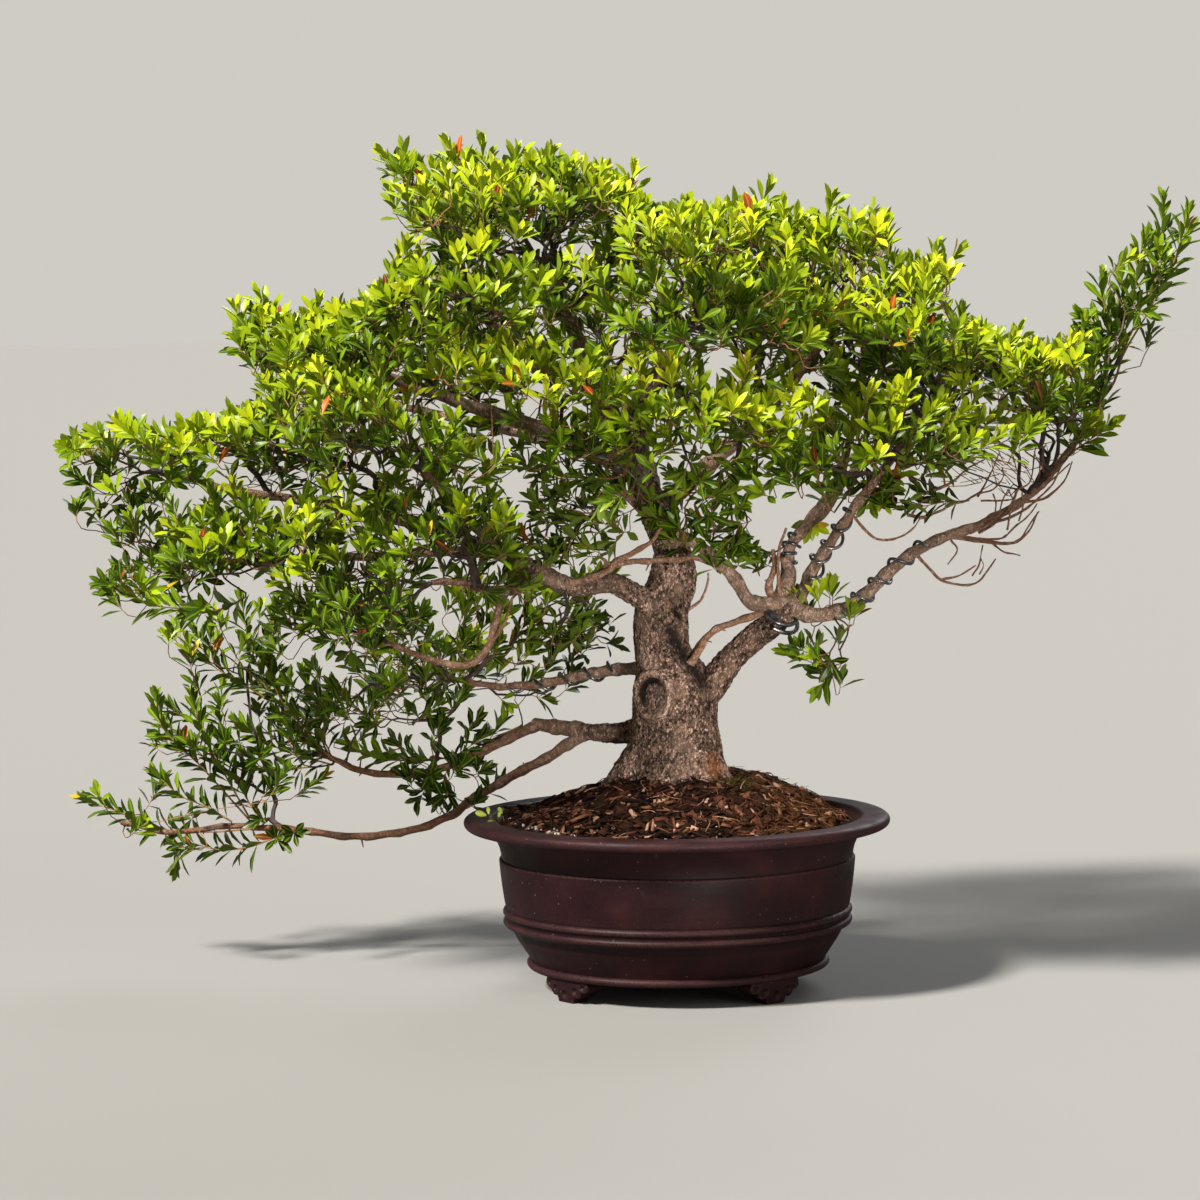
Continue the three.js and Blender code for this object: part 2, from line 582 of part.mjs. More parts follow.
// Distance between two straight pieces [start, end].
function pieceDistance([a, b], [c, d]) {
  const samples = 8;
  const line = new THREE.Line3(c, d);
  let nearest = Infinity;
  for (let i = 0; i <= samples; i++) {
    const point = a.clone().lerp(b, i / samples);
    nearest = Math.min(nearest, line.closestPointToPoint(point, true, new THREE.Vector3()).distanceTo(point));
  }
  return nearest;
}

// What stands in the way of a new twig or whorl: straight pieces with a radius and an owner.
const obstacles = [];

// A whorl's own neighbours on the branchlet may come nearer than those of another one.
function isClear(owner, piece, radius) {
  return obstacles.every((other) => {
    const own = other.owner === owner;
    if (own && !(other.isWhorl && radius === WHORL_RADIUS)) return true;
    return pieceDistance(piece, other.piece) > (radius + other.radius) * (own ? OWN_WHORL_SPACING : 1);
  });
}

function standInTheWay(owner, points, radii) {
  for (let i = 1; i < points.length; i++) {
    obstacles.push({ owner, piece: [points[i - 1], points[i]], radius: radii[i - 1] + TWIG_CLEARANCE });
  }
}

// The stem of a branchlet: it leaves the limb along its growth and curves over to its tip.
function stemOf(name) {
  const [limbName, at, tip] = BRANCHLETS[name];
  const curve = curveOf(LIMBS[limbName]);
  const root = curve.getPoint(at);
  const end = new THREE.Vector3(...tip);
  const length = root.distanceTo(end);
  const bend = root.clone().lerp(end, 0.45).addScaledVector(curve.getTangent(at), 0.16 * length);
  const path = new THREE.QuadraticBezierCurve3(root, bend, end);
  const steps = Math.max(2, Math.round(length / STEM_STEP));
  return { path, points: path.getPoints(steps), startRadius: Math.max(radiusAt(LIMBS[limbName], at) * 0.7, 1.6) };
}

const GOLDEN_TURN = Math.PI * (3 - Math.sqrt(5));

// Whorls stand on side twigs that turn round the stem, and one closes its tip. A twig that would meet
// another branchlet is turned, then shortened, and left out if neither clears it.
function branchlet(name, stem) {
  const [, , , reach, count] = BRANCHLETS[name];
  const radii = stem.points.map((_, i) => {
    return THREE.MathUtils.lerp(stem.startRadius, TWIG_RADIUS, i / (stem.points.length - 1));
  });
  const up = new THREE.Vector3(0, 0, 1);
  const tip = stem.points.at(-1);
  const tipDirection = stem.path.getTangent(1);
  const neck = tip.clone().addScaledVector(tipDirection, -10);
  const solids = [
    tube(stem.points, radii, 3),
    twigWithWhorl(neck, tip, tipDirection.clone().addScaledVector(up, 0.6).normalize(), WHORL_RADIUS * 0.9),
  ];
  for (let i = 1; i < count; i++) {
    const t = THREE.MathUtils.lerp(0.42, 0.94, i / (count - 1));
    const start = stem.path.getPoint(t);
    const along = stem.path.getTangent(t);
    const side = new THREE.Vector3(0, 0, 1).cross(along).normalize();
    for (let attempt = 0; attempt < 24; attempt++) {
      const turn = GOLDEN_TURN * i + attempt * 0.9;
      const length = reach * [1, 1.25, 0.75][Math.floor(attempt / 8)];
      const out = side.clone().applyAxisAngle(along, turn);
      out.z = Math.max(out.z, -0.35) * 0.8;
      const heading = out.addScaledVector(along, 0.45).normalize();
      const end = start.clone().addScaledVector(heading, length);
      const tooLow = end.z < LOWEST_WHORL;
      const clear = isClear(name, [start, end], TWIG_RADIUS) && isClear(name, [end, end], WHORL_RADIUS);
      if (tooLow || !clear) continue;
      const face = heading.clone().addScaledVector(up, 0.9).normalize();
      solids.push(twigWithWhorl(start, end, face, WHORL_RADIUS));
      obstacles.push({ owner: name, piece: [start, end], radius: TWIG_RADIUS + TWIG_CLEARANCE });
      obstacles.push({ owner: name, piece: [end, end], radius: WHORL_RADIUS, isWhorl: true });
      break;
    }
  }
  return joined(solids);
}

// ---------------------------------------------------------------- seedling

const SEEDLING_ROOT = [-137, -24, 128];
const SEEDLING_LEAVES = [
  { at: [-156, -30, 149], size: [9, 6, 1], turn: 0.3 },
  { at: [-142, -20, 147], size: [5, 4.5, 1], turn: 1.2 },
  { at: [-144, -34, 146], size: [5, 4.5, 1], turn: -1 },
];

function seedling(grow = 0) {
  const [x, y, z] = SEEDLING_ROOT;
  const stem = [[x, y, z, 1], [x - 3, y - 1, z + 10, 0.9], [x - 9, y - 3, z + 19, 0.8]];
  const solids = [limbTube(stem, 5, 1, grow)];
  for (const { at, size, turn } of SEEDLING_LEAVES) {
    const blade = new THREE.SphereGeometry(1, 6, 4).scale(...size).rotateZ(turn);
    solids.push(solidOf(blade.translate(...at)));
    const [a, b] = [new THREE.Vector3(x - 8, y - 3, z + 17), new THREE.Vector3(...at)];
    solids.push(tube([a, b], [0.8, 0.7], 4));
  }
  return joined(solids);
}

// ---------------------------------------------------------------- the whole tree

const stumpPocket = stumpBody(FIT_GAP);
const woodPocket = woodBody(FIT_GAP);
const wires = Object.entries(WIRES).map(([name, winding]) => [name, windWire(...winding)]);

addNode('pot', pot(), stoneware);
Object.entries(FOOT_ANGLES).forEach(([place, angle]) => addNode(`pot_foot_${place}`, foot(angle), stoneware));
DRAIN_OFFSETS.forEach((x, i) => addNode(`drainage_screen_${i + 1}`, screen(x), screenPlastic));
addNode('soil', largestBody(soilBody().subtract(joined([stumpPocket, ...DRAIN_OFFSETS.map(screenPocket)]))), darkSoil);
addNode('bark_mulch', largestBody(mulchBody().subtract(stumpPocket).subtract(seedling(FIT_GAP))), barkChips);
addNode('trunk_and_limbs', woodBody(), bark);
wires.forEach(([name, solid]) => addNode(name, solid, wireMetal));
addNode('seedling', seedling(), seedlingGreen);

for (const [name, route] of Object.entries(LIMBS)) {
  const points = curveOf(route).getPoints(route.length - 1);
  standInTheWay(name, points, points.map((_, i) => radiusAt(route, i / (points.length - 1))));
}
const stems = Object.keys(BRANCHLETS).map((name) => [name, stemOf(name)]);
for (const [name, stem] of stems) {
  const free = stem.points.slice(1);
  standInTheWay(name, free, free.map(() => stem.startRadius));
  obstacles.push({ owner: name, piece: [free.at(-1), free.at(-1)], radius: WHORL_RADIUS, isWhorl: true });
}
const wireSolids = joined(wires.map(([, solid]) => solid));
for (const [name, stem] of stems) {
  const cleared = branchlet(name, stem).subtract(woodPocket).subtract(wireSolids);
  addNode(`branchlet_${name}`, largestBody(cleared), leaf);
}

const box = new THREE.Box3().setFromObject(group);
const middle = box.getCenter(new THREE.Vector3());
group.position.set(-middle.x, -middle.y, -box.min.z);

export default group;
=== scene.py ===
# Satsuki azalea bonsai in a round unglazed stoneware pot: the looks of every piece, round the packed
# model. Blender works in metres; routes and outlines here are millimetres about the pot's upright axis,
# with the soles of the pot's feet at z = 0, +x to the tree's right and -y towards its front.
import math

import bpy
import numpy as np
from mathutils import Matrix, Vector, kdtree, noise


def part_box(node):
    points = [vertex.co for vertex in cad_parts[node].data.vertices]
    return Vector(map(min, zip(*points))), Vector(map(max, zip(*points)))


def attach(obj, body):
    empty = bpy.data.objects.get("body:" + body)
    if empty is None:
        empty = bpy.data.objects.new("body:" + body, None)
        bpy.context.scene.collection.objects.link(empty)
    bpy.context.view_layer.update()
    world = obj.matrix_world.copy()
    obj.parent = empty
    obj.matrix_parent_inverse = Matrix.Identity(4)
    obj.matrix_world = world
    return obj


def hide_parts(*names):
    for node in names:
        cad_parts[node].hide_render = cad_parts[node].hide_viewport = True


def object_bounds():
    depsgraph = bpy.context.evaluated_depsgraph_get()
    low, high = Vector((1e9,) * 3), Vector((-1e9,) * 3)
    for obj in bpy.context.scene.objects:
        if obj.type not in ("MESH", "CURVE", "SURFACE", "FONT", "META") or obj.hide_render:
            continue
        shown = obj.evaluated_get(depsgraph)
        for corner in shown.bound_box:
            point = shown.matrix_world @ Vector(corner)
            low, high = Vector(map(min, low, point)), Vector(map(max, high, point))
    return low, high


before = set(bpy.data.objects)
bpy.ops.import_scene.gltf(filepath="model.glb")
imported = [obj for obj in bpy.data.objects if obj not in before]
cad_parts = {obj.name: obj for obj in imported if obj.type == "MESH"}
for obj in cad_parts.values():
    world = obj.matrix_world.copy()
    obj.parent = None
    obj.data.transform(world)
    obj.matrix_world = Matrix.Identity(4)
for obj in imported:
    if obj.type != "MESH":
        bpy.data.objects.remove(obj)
cad_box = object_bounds()

# ---------------------------------------------------------------- studio
# A pale floor that runs to the horizon, a pale sky and soft lights: the key high on the left of the
# front, a weaker one low on the right, one behind to edge the leaves, and a low lamp for the trunk.

MM = 0.001
pot_low, pot_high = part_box("pot")
AXIS = np.array([(pot_low.x + pot_high.x) / 2, (pot_low.y + pot_high.y) / 2, 0.0])


def metres(places):
    """Places in millimetres about the pot's axis, in the frame's metres."""
    return np.asarray(places, float) * MM + AXIS


def node(tree, kind, feeds=None, **settings):
    """A shader node with its settings. Each feed is a socket to link or a value to set."""
    made = tree.nodes.new("ShaderNode" + kind)
    for name, value in settings.items():
        setattr(made, name, value)
    for place, value in (feeds or {}).items():
        if isinstance(value, bpy.types.NodeSocket):
            tree.links.new(value, made.inputs[place])
        else:
            made.inputs[place].default_value = value
    return made


def new_material(name, **finish):
    """A material with its tree and its Principled shader, whose plain sockets are set from finish."""
    material = bpy.data.materials.new(name)
    material.use_nodes = True
    shader = material.node_tree.nodes["Principled BSDF"]
    for socket, value in finish.items():
        shader.inputs[socket.replace("_", " ")].default_value = value
    return material, material.node_tree, shader


def ramp(tree, factor, stops):
    """A colour ramp over a factor. Each stop is (place, (red, green, blue))."""
    made = node(tree, "ValToRGB", {"Fac": factor})
    while len(made.color_ramp.elements) < len(stops):
        made.color_ramp.elements.new(0.5)
    for element, (place, colour) in zip(made.color_ramp.elements, stops):
        element.position = place
        element.color = (*colour, 1)
    return made.outputs["Color"]


def spread(tree, value, low, high, to_low=0.0, to_high=1.0):
    """A value from low to high as one from to_low to to_high, and no further."""
    feeds = {"Value": value, "From Min": low, "From Max": high, "To Min": to_low, "To Max": to_high}
    return node(tree, "MapRange", feeds).outputs["Result"]


FLOOR_SIDE = 400
FLOOR_PAINT = (0.396, 0.392, 0.385)
FLOOR_BOUNCE = (0.15, 0.145, 0.135)  # the paint that the tree's undersides are lit from
SKY_GLOW = 0.12
WALL_GLOW = 0.64
bpy.ops.object.select_all(action="DESELECT")
bpy.ops.mesh.primitive_plane_add(size=FLOOR_SIDE, location=(0, 0, 0))
floor = bpy.context.object
floor.name = "studio_floor"
floor_paint, floor_tree, floor_shader = new_material("studio_floor", Roughness=0.9)
lens_ray = node(floor_tree, "LightPath").outputs["Is Camera Ray"]
floor_tint = ramp(floor_tree, lens_ray, [(0.0, FLOOR_BOUNCE), (1.0, FLOOR_PAINT)])
floor_tree.links.new(floor_tint, floor_shader.inputs["Base Color"])
floor.data.materials.append(floor_paint)

# The sky looks as pale as the floor, but gives the tree only a soft, even light.
sky = bpy.data.worlds.new("studio_sky")
sky.use_nodes = True
seen = node(sky.node_tree, "LightPath").outputs["Is Camera Ray"]
sky_light = sky.node_tree.nodes["Background"].inputs
sky_light["Color"].default_value = (0.975, 0.944, 0.869, 1)
sky.node_tree.links.new(spread(sky.node_tree, seen, 0, 1, SKY_GLOW, WALL_GLOW), sky_light["Strength"])
bpy.context.scene.world = sky
bpy.context.scene.view_settings.view_transform = "Standard"


def new_object(name, data):
    made = bpy.data.objects.new(name, data)
    bpy.context.collection.objects.link(made)
    return made


def light(name, kind, way, energy, colour, **settings):
    """A lamp that shines that way, with the settings of its own kind."""
    lamp = bpy.data.lights.new(name, kind)
    lamp.energy = energy
    lamp.color = colour
    for setting, value in settings.items():
        setattr(lamp, setting, value)
    made = new_object(name, lamp)
    made.rotation_euler = Vector(way).to_track_quat("-Z", "Y").to_euler()
    return made


light("key", "SUN", (0.62, 0.55, -0.80), 5.6, (1.0, 0.955, 0.87), angle=math.radians(9))
light("fill", "SUN", (-0.62, 0.72, -0.35), 0.55, (1.0, 0.95, 0.9), angle=math.radians(40))
light("rim", "SUN", (-0.35, -0.85, -0.55), 0.8, (0.92, 0.96, 1.0), angle=math.radians(30))

# A low lamp with a wide soft edge reaches in under the crown, to the trunk and the pot.
LAMP = (520, -1850, 60)
LAMP_AIM = (20, -10, 235)
LAMP_CONE = {"spot_size": math.radians(15), "spot_blend": 1.0, "shadow_soft_size": 0.12}
trunk_lamp = light("trunk_lamp", "SPOT", np.subtract(LAMP_AIM, LAMP), 124, (1.0, 0.93, 0.84), **LAMP_CONE)
trunk_lamp.location = metres(LAMP)

# The camera looks slightly down at the front of the tree and leans a little to one side.
EYE = (-59.8, -3166, 542)
EYE_PITCH = math.radians(4.11)
EYE_ROLL = math.radians(0.71)
EYE_FOCAL = 118.14  # millimetres of lens over a sensor 36 mm wide

eye_ahead = Vector((0, math.cos(EYE_PITCH), -math.sin(EYE_PITCH)))
eye_side = Vector((1, 0, 0))
eye_top = eye_side.cross(eye_ahead)
leaned_side = eye_side * math.cos(EYE_ROLL) - eye_top * math.sin(EYE_ROLL)
leaned_top = eye_side * math.sin(EYE_ROLL) + eye_top * math.cos(EYE_ROLL)
camera = new_object("camera", bpy.data.cameras.new("camera"))
camera.data.lens = EYE_FOCAL
camera.data.sensor_width = 36
camera.data.sensor_fit = "HORIZONTAL"
camera.data.clip_end = 100
turned = Matrix((leaned_side, leaned_top, -eye_ahead)).transposed()
camera.matrix_world = Matrix.Translation(Vector(metres(EYE))) @ turned.to_4x4()
bpy.context.scene.camera = camera

# ---------------------------------------------------------------- pot
# One piece of dark brown stoneware, thrown on a wheel and fired without glaze: a rolled rim, a hollow
# neck, a double bead round the belly, a ledge bead, four carved cloud feet and two drain holes.

POT_STEPS = 144
FLOOR_HEIGHT = 29
DRAIN_RADIUS = 17
DRAIN_OFFSET = 52
DRAIN_CUT_DROP = 5  # middle of the drilled hole below the floor's top
DRAIN_CUT_LENGTH = 20
FOOT_ANGLES = (-50, -141, 40, 129)
FOOT_RADIUS = 119
FOOT_DEPTH = 16
FOOT_GRAIN = 0.75  # voxel of the carved clay
FOOT_DISH = 2.0  # depth of the dimples in its face
FOOT_LEAN = 0.12  # how far its face leans in towards the sole, as a share of the height
LEDGE_HEIGHT = 14
WALL_WANDER = 0.0003  # metres
WANDER_LUMPS = 14  # to a metre
EDGE_REACH = 0.5  # slope between the deepest crease and the sharpest edge that are told apart


def arc(centre, radii, start, stop, steps):
    """Points (radius, height) of a bead's round, between two angles in degrees from straight out."""
    angles = np.radians(np.linspace(start, stop, steps))
    return [(centre[0] + radii[0] * math.cos(a), centre[1] + radii[1] * math.sin(a)) for a in angles]


POT_OUTLINE = [
    (0.4, 18), (60, 18), (112, 18.1),
    *arc((118.8, 21.4), (3.7, 3.3), -90, 84, 9),  # ledge bead
    (119.6, 25.6), (121.4, 28.6), (124.6, 33.2), (128.2, 38.8), (131.6, 44.4), (134.0, 50.0),
    *arc((136.7, 55.3), (4.6, 3.5), -66, 62, 8),  # lower bead
    *arc((137.0, 63.4), (4.4, 3.5), -60, 66, 8),  # upper bead
    (139.3, 68.0), (140.4, 74), (141.9, 84), (143.2, 95), (144.1, 104.4), (144.1, 105.6),
    (143.4, 106.6), (142.3, 107.2),  # step line
    (142.7, 111), (144.0, 116.5), (146.2, 121.6), (148.8, 126), (151.4, 129.2), (154.4, 130.7),
    (160, 131.1), (166.5, 131),
    *arc((167.6, 135.5), (4.8, 4.5), -80, 86, 11),  # rolled rim
    (160, 140), (154, 139.9),
    *arc((151.7, 137.5), (2.8, 2.4), 90, 176, 5),
    (146.4, 136), (142, 124), (137, 104), (130, 70), (122, 45), (110, 30), (60, 29.4), (0.4, 29),
]  # fmt: skip


def make_active(piece):
    bpy.ops.object.select_all(action="DESELECT")
    piece.select_set(True)
    bpy.context.view_layer.objects.active = piece


def turned_piece(name, outline, steps):
    """A closed outline of (radius, height) turned once round the pot's axis."""
    line = bpy.data.meshes.new(name)
    places = metres([(r, 0, z) for r, z in outline])
    line.from_pydata(places.tolist(), [(i, i + 1) for i in range(len(outline) - 1)], [])
    piece = new_object(name, line)
    make_active(piece)
    bpy.ops.object.mode_set(mode="EDIT")
    bpy.ops.mesh.select_all(action="SELECT")
    bpy.ops.mesh.spin(steps=steps, angle=2 * math.pi, center=tuple(AXIS), axis=(0, 0, 1))
    bpy.ops.mesh.select_all(action="SELECT")
    bpy.ops.mesh.remove_doubles(threshold=0.01 * MM)
    bpy.ops.mesh.select_all(action="DESELECT")
    bpy.ops.mesh.select_non_manifold()
    bpy.ops.mesh.edge_face_add()
    bpy.ops.mesh.select_all(action="SELECT")
    bpy.ops.mesh.fill_holes(sides=0)
    bpy.ops.mesh.normals_make_consistent(inside=False)
    bpy.ops.object.mode_set(mode="OBJECT")
    return piece


def vertices_of(piece, what="co"):
    """The places of a piece's vertices in metres, or their normals."""
    values = np.empty(len(piece.data.vertices) * 3)
    piece.data.vertices.foreach_get(what, values)
    return values.reshape(-1, 3)


def move_vertices(piece, places):
    piece.data.vertices.foreach_set("co", np.ascontiguousarray(places, float).ravel())
    piece.data.update()


def add_value(piece, name, values, domain="POINT"):
    """A number for each vertex or face, which a material reads by its name."""
    made = piece.data.attributes.new(name, "FLOAT", domain)
    made.data.foreach_set("value", np.ascontiguousarray(values, np.float32))


def apply_modifier(piece, kind, **settings):
    make_active(piece)
    modifier = piece.modifiers.new(kind, kind)
    for name, value in settings.items():
        setattr(modifier, name, value)
    bpy.ops.object.modifier_apply(modifier=modifier.name)


def cut_or_join(piece, tool, operation):
    """A boolean with a tool that is then thrown away."""
    apply_modifier(piece, "BOOLEAN", object=tool, operation=operation, solver="EXACT")
    bpy.data.objects.remove(tool)


def join_pieces(pieces, name):
    make_active(pieces[0])
    for piece in pieces:
        piece.select_set(True)
    bpy.ops.object.join()
    pieces[0].name = name
    return pieces[0]


def smooth_shading(piece, degrees):
    make_active(piece)
    bpy.ops.object.shade_smooth_by_angle(angle=math.radians(degrees))


def edge_mask(piece, reach):
    """How far each vertex stands out from its neighbours: over 0.5 on an edge, under it in a crease."""
    places = vertices_of(piece)
    normals = vertices_of(piece, "normal")
    ends = np.empty(len(piece.data.edges) * 2, int)
    piece.data.edges.foreach_get("vertices", ends)
    a, b = ends.reshape(-1, 2).T
    rise = np.zeros(len(places))
    count = np.zeros(len(places))
    for one, other in ((a, b), (b, a)):
        step = places[one] - places[other]
        lift = np.einsum("ij,ij->i", step, normals[one]) / np.linalg.norm(step, axis=1).clip(1e-9)
        np.add.at(rise, one, lift)
        np.add.at(count, one, 1)
    return np.clip(0.5 + rise / count.clip(1) / reach, 0, 1)


def cloud_foot():
    """A bracket foot: a flat face, a scalloped lower edge that steps up to the ledge, and dimples."""
    lobes = [
        (-4.5, 6, 6), (4.5, 6, 6), (13.4, 9.6, 5.2), (-13.4, 9.6, 5.2), (21.8, 14, 4.4), (-21.8, 14, 4.4),
    ]  # fmt: skip
    bars = [(0, 16, 25, 3), (0, 12.5, 17, 4), (0, 6, 9.5, 6)]  # x, z, half width, half height
    dimples = [(0, 7, 3.0), (12.2, 10.6, 2.6), (-12.2, 10.6, 2.6), (20.6, 14, 2.0), (-20.6, 14, 2.0)]
    middle = -FOOT_RADIUS + FOOT_DEPTH / 2
    lying = (math.pi / 2, 0, 0)
    lumps = []
    for x, z, radius in lobes:
        made = {"radius": radius * MM, "depth": FOOT_DEPTH * MM, "location": metres((x, middle, z))}
        bpy.ops.mesh.primitive_cylinder_add(vertices=24, rotation=lying, **made)
        lumps.append(bpy.context.object)
    for x, z, half_width, half_height in bars:
        bpy.ops.mesh.primitive_cube_add(size=1, location=metres((x, middle, z)))
        bpy.context.object.scale = (2 * half_width * MM, FOOT_DEPTH * MM, 2 * half_height * MM)
        lumps.append(bpy.context.object)
    foot = join_pieces(lumps, "foot")
    bpy.ops.object.transform_apply(location=True, rotation=True, scale=True)
    apply_modifier(foot, "REMESH", mode="VOXEL", voxel_size=FOOT_GRAIN * MM)
    apply_modifier(foot, "SMOOTH", factor=0.5, iterations=3)
    places = (vertices_of(foot) - AXIS) / MM
    face = np.clip((-places[:, 1] - FOOT_RADIUS + 3) / 2, 0, 1)
    for x, z, radius in dimples:
        away = np.hypot(places[:, 0] - x, places[:, 2] - z) / radius
        places[:, 1] += face * FOOT_DISH * np.clip(1.35 - away, 0, 1)
    places[:, 1] += FOOT_RADIUS - np.sqrt(FOOT_RADIUS**2 - places[:, 0] ** 2)
    places[:, 1] += FOOT_LEAN * np.clip(LEDGE_HEIGHT - places[:, 2], 0, LEDGE_HEIGHT)
    places[:, 2] = np.maximum(places[:, 2], 0)
    move_vertices(foot, metres(places))
    apply_modifier(foot, "DECIMATE", ratio=0.45)
    return foot


pot = turned_piece("stoneware_pot", POT_OUTLINE, POT_STEPS)
first_foot = cloud_foot()
for foot_angle in FOOT_ANGLES:
    foot = new_object("foot", first_foot.data.copy())
    spin = Matrix.Rotation(math.radians(foot_angle + 90), 4, "Z")
    about_axis = Matrix.Translation(Vector(AXIS)) @ spin @ Matrix.Translation(-Vector(AXIS))
    foot.data.transform(about_axis)
    cut_or_join(pot, foot, "UNION")
bpy.data.objects.remove(first_foot)
for side in (-1, 1):
    place = metres((side * DRAIN_OFFSET, 0, FLOOR_HEIGHT - DRAIN_CUT_DROP))
    size = {"radius": DRAIN_RADIUS * MM, "depth": DRAIN_CUT_LENGTH * MM}
    bpy.ops.mesh.primitive_cylinder_add(vertices=48, **size, location=place)
    cut_or_join(pot, bpy.context.object, "DIFFERENCE")

# A thrown pot is never quite true: the wall wanders by a few tenths of a millimetre.
pot_places = vertices_of(pot)
wander = [WALL_WANDER * noise.noise(Vector(p) * WANDER_LUMPS) for p in pot_places]
pot_out = (pot_places - AXIS) * (1, 1, 0)
pot_out /= np.linalg.norm(pot_out, axis=1, keepdims=True).clip(1e-6)
move_vertices(pot, pot_places + pot_out * np.array(wander)[:, None])
add_value(pot, "edge", edge_mask(pot, EDGE_REACH))
smooth_shading(pot, 50)


def maths(tree, operation, first, second=0.0):
    return node(tree, "Math", {0: first, 1: second}, operation=operation, use_clamp=True).outputs["Value"]


def times(tree, first, second):
    return maths(tree, "MULTIPLY", first, second)


def plus(tree, first, *others):
    for other in others:
        first = maths(tree, "ADD", first, other)
    return first


def bump(tree, height, strength, distance):
    feeds = {"Height": height, "Strength": strength, "Distance": distance}
    return node(tree, "Bump", feeds).outputs["Normal"]


def value_of(tree, name):
    """The numbers that add_value gave a piece under that name."""
    return node(tree, "Attribute", attribute_name=name).outputs["Fac"]


def noisy(tree, place, scale, detail, roughness=0.5):
    feeds = {"Vector": place, "Scale": scale, "Detail": detail, "Roughness": roughness}
    return node(tree, "TexNoise", feeds).outputs["Fac"]


def cells_of(tree, place, scale, **kind):
    return node(tree, "TexVoronoi", {"Vector": place, "Scale": scale}, **kind).outputs


def channel(tree, colour, name):
    return node(tree, "SeparateColor", {"Color": colour}).outputs[name]


def mottle_group():
    """Broad clouds, fine grain and scattered specks over a surface, each from 0 to 1."""
    group = bpy.data.node_groups.new("mottle", "ShaderNodeTree")
    group.interface.new_socket("Vector", in_out="INPUT", socket_type="NodeSocketVector")
    for name in ("Cloud scale", "Grain scale", "Speck scale"):
        group.interface.new_socket(name, in_out="INPUT", socket_type="NodeSocketFloat")
    came = group.nodes.new("NodeGroupInput").outputs
    place = came["Vector"]
    cells = cells_of(group, place, came["Speck scale"])
    rare = maths(group, "GREATER_THAN", channel(group, cells["Color"], "Red"), 0.8)
    made = {
        "Cloud": noisy(group, place, came["Cloud scale"], 5.0),
        "Grain": noisy(group, place, came["Grain scale"], 3.0),
        "Speck": times(group, spread(group, cells["Distance"], 0.16, 0.06), rare),
    }
    for name in made:
        group.interface.new_socket(name, in_out="OUTPUT", socket_type="NodeSocketFloat")
    gone = group.nodes.new("NodeGroupOutput")
    for name, socket in made.items():
        group.links.new(socket, gone.inputs[name])
    return group


MOTTLE = mottle_group()


def mottled(tree, cloud_scale, grain_scale, speck_scale, stretch=(1, 1, 1)):
    """The mottle group on Object coordinates in metres, stretched along an axis where asked."""
    place = node(tree, "TexCoord").outputs["Object"]
    place = node(tree, "Mapping", {"Vector": place, "Scale": stretch}).outputs["Vector"]
    scales = {"Cloud scale": cloud_scale, "Grain scale": grain_scale, "Speck scale": speck_scale}
    made = node(tree, "Group", {"Vector": place, **scales}, node_tree=MOTTLE).outputs
    return made["Cloud"], made["Grain"], made["Speck"], place


def coated(tree, tint, *coats):
    """Colours laid over a tint one after another. Each coat is (how much of it, (red, green, blue))."""
    for amount, colour in coats:
        feeds = {"Fac": amount, "Color1": tint, "Color2": (*colour, 1)}
        tint = node(tree, "MixRGB", feeds).outputs["Color"]
    return tint


def feed(tree, shader, **sources):
    """Links what varies over the surface to the shader's sockets."""
    for socket, source in sources.items():
        tree.links.new(source, shader.inputs[socket.replace("_", " ")])


def stoneware_material():
    """Fired clay without glaze: satin, chocolate brown going purple, worn lighter on its edges with a painted
    highlight there, and painted shade in its creases.
    """
    material, tree, shader = new_material("unglazed_stoneware", Specular_IOR_Level=0.2)
    cloud, grain, speck, place = mottled(tree, 26, 900, 210)
    edge = value_of(tree, "edge")
    worn_and_highlit = times(tree, spread(tree, edge, 0.54, 0.8), spread(tree, grain, 0.35, 0.6))
    dust = noisy(tree, place, 60.0, 6.0, 0.7)
    # Small pits: sunk by the bump and painted near black, a painted shade in each.
    pits = cells_of(tree, place, 95.0)
    pit_here = maths(tree, "GREATER_THAN", channel(tree, pits["Color"], "Green"), 0.93)
    pit = times(tree, spread(tree, pits["Distance"], 0.13, 0.07), pit_here)
    browns = [
        (0.3, (0.0135, 0.0038, 0.0060)), (0.52, (0.0215, 0.0056, 0.0076)), (0.72, (0.040, 0.0098, 0.0110)),
    ]  # fmt: skip
    clay = coated(
        tree,
        ramp(tree, cloud, browns),
        (spread(tree, grain, 0.45, 0.75, 0, 0.3), (0.046, 0.017, 0.018)),
        # Edges painted lighter, partly wear and partly a painted highlight; creases painted darker, a painted
        # shade.
        (times(tree, worn_and_highlit, 0.5), (0.100, 0.046, 0.046)),
        (spread(tree, edge, 0.46, 0.25, 0, 0.65), (0.016, 0.009, 0.008)),
        (spread(tree, dust, 0.6, 0.78, 0, 0.12), (0.11, 0.066, 0.062)),
        (times(tree, speck, 0.55), (0.26, 0.19, 0.16)),
        (pit, (0.01, 0.006, 0.006)),
    )
    dusty = times(tree, spread(tree, dust, 0.5, 0.8), 0.2)
    rough = plus(tree, spread(tree, cloud, 0.3, 0.7, 0.40, 0.58), dusty)
    wheel_rings = node(tree, "Mapping", {"Vector": place, "Scale": (3, 3, 420)}).outputs["Vector"]
    wheel = noisy(tree, wheel_rings, 1.0, 2.0)
    height = maths(tree, "SUBTRACT", plus(tree, times(tree, grain, 0.5), times(tree, wheel, 0.35)), pit)
    feed(tree, shader, Base_Color=clay, Roughness=rough, Normal=bump(tree, height, 0.35, 0.0006))
    return material


pot.data.materials.append(stoneware_material())
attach(pot, "root")
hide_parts("pot", *(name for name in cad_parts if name.startswith("pot_foot_")))

# ---------------------------------------------------------------- drainage screens and soil
# A square of black plastic mesh lies over each drain hole, and the root ball of dark crumbly soil
# fills the pot. Both are as the frame has them, with their own finish.


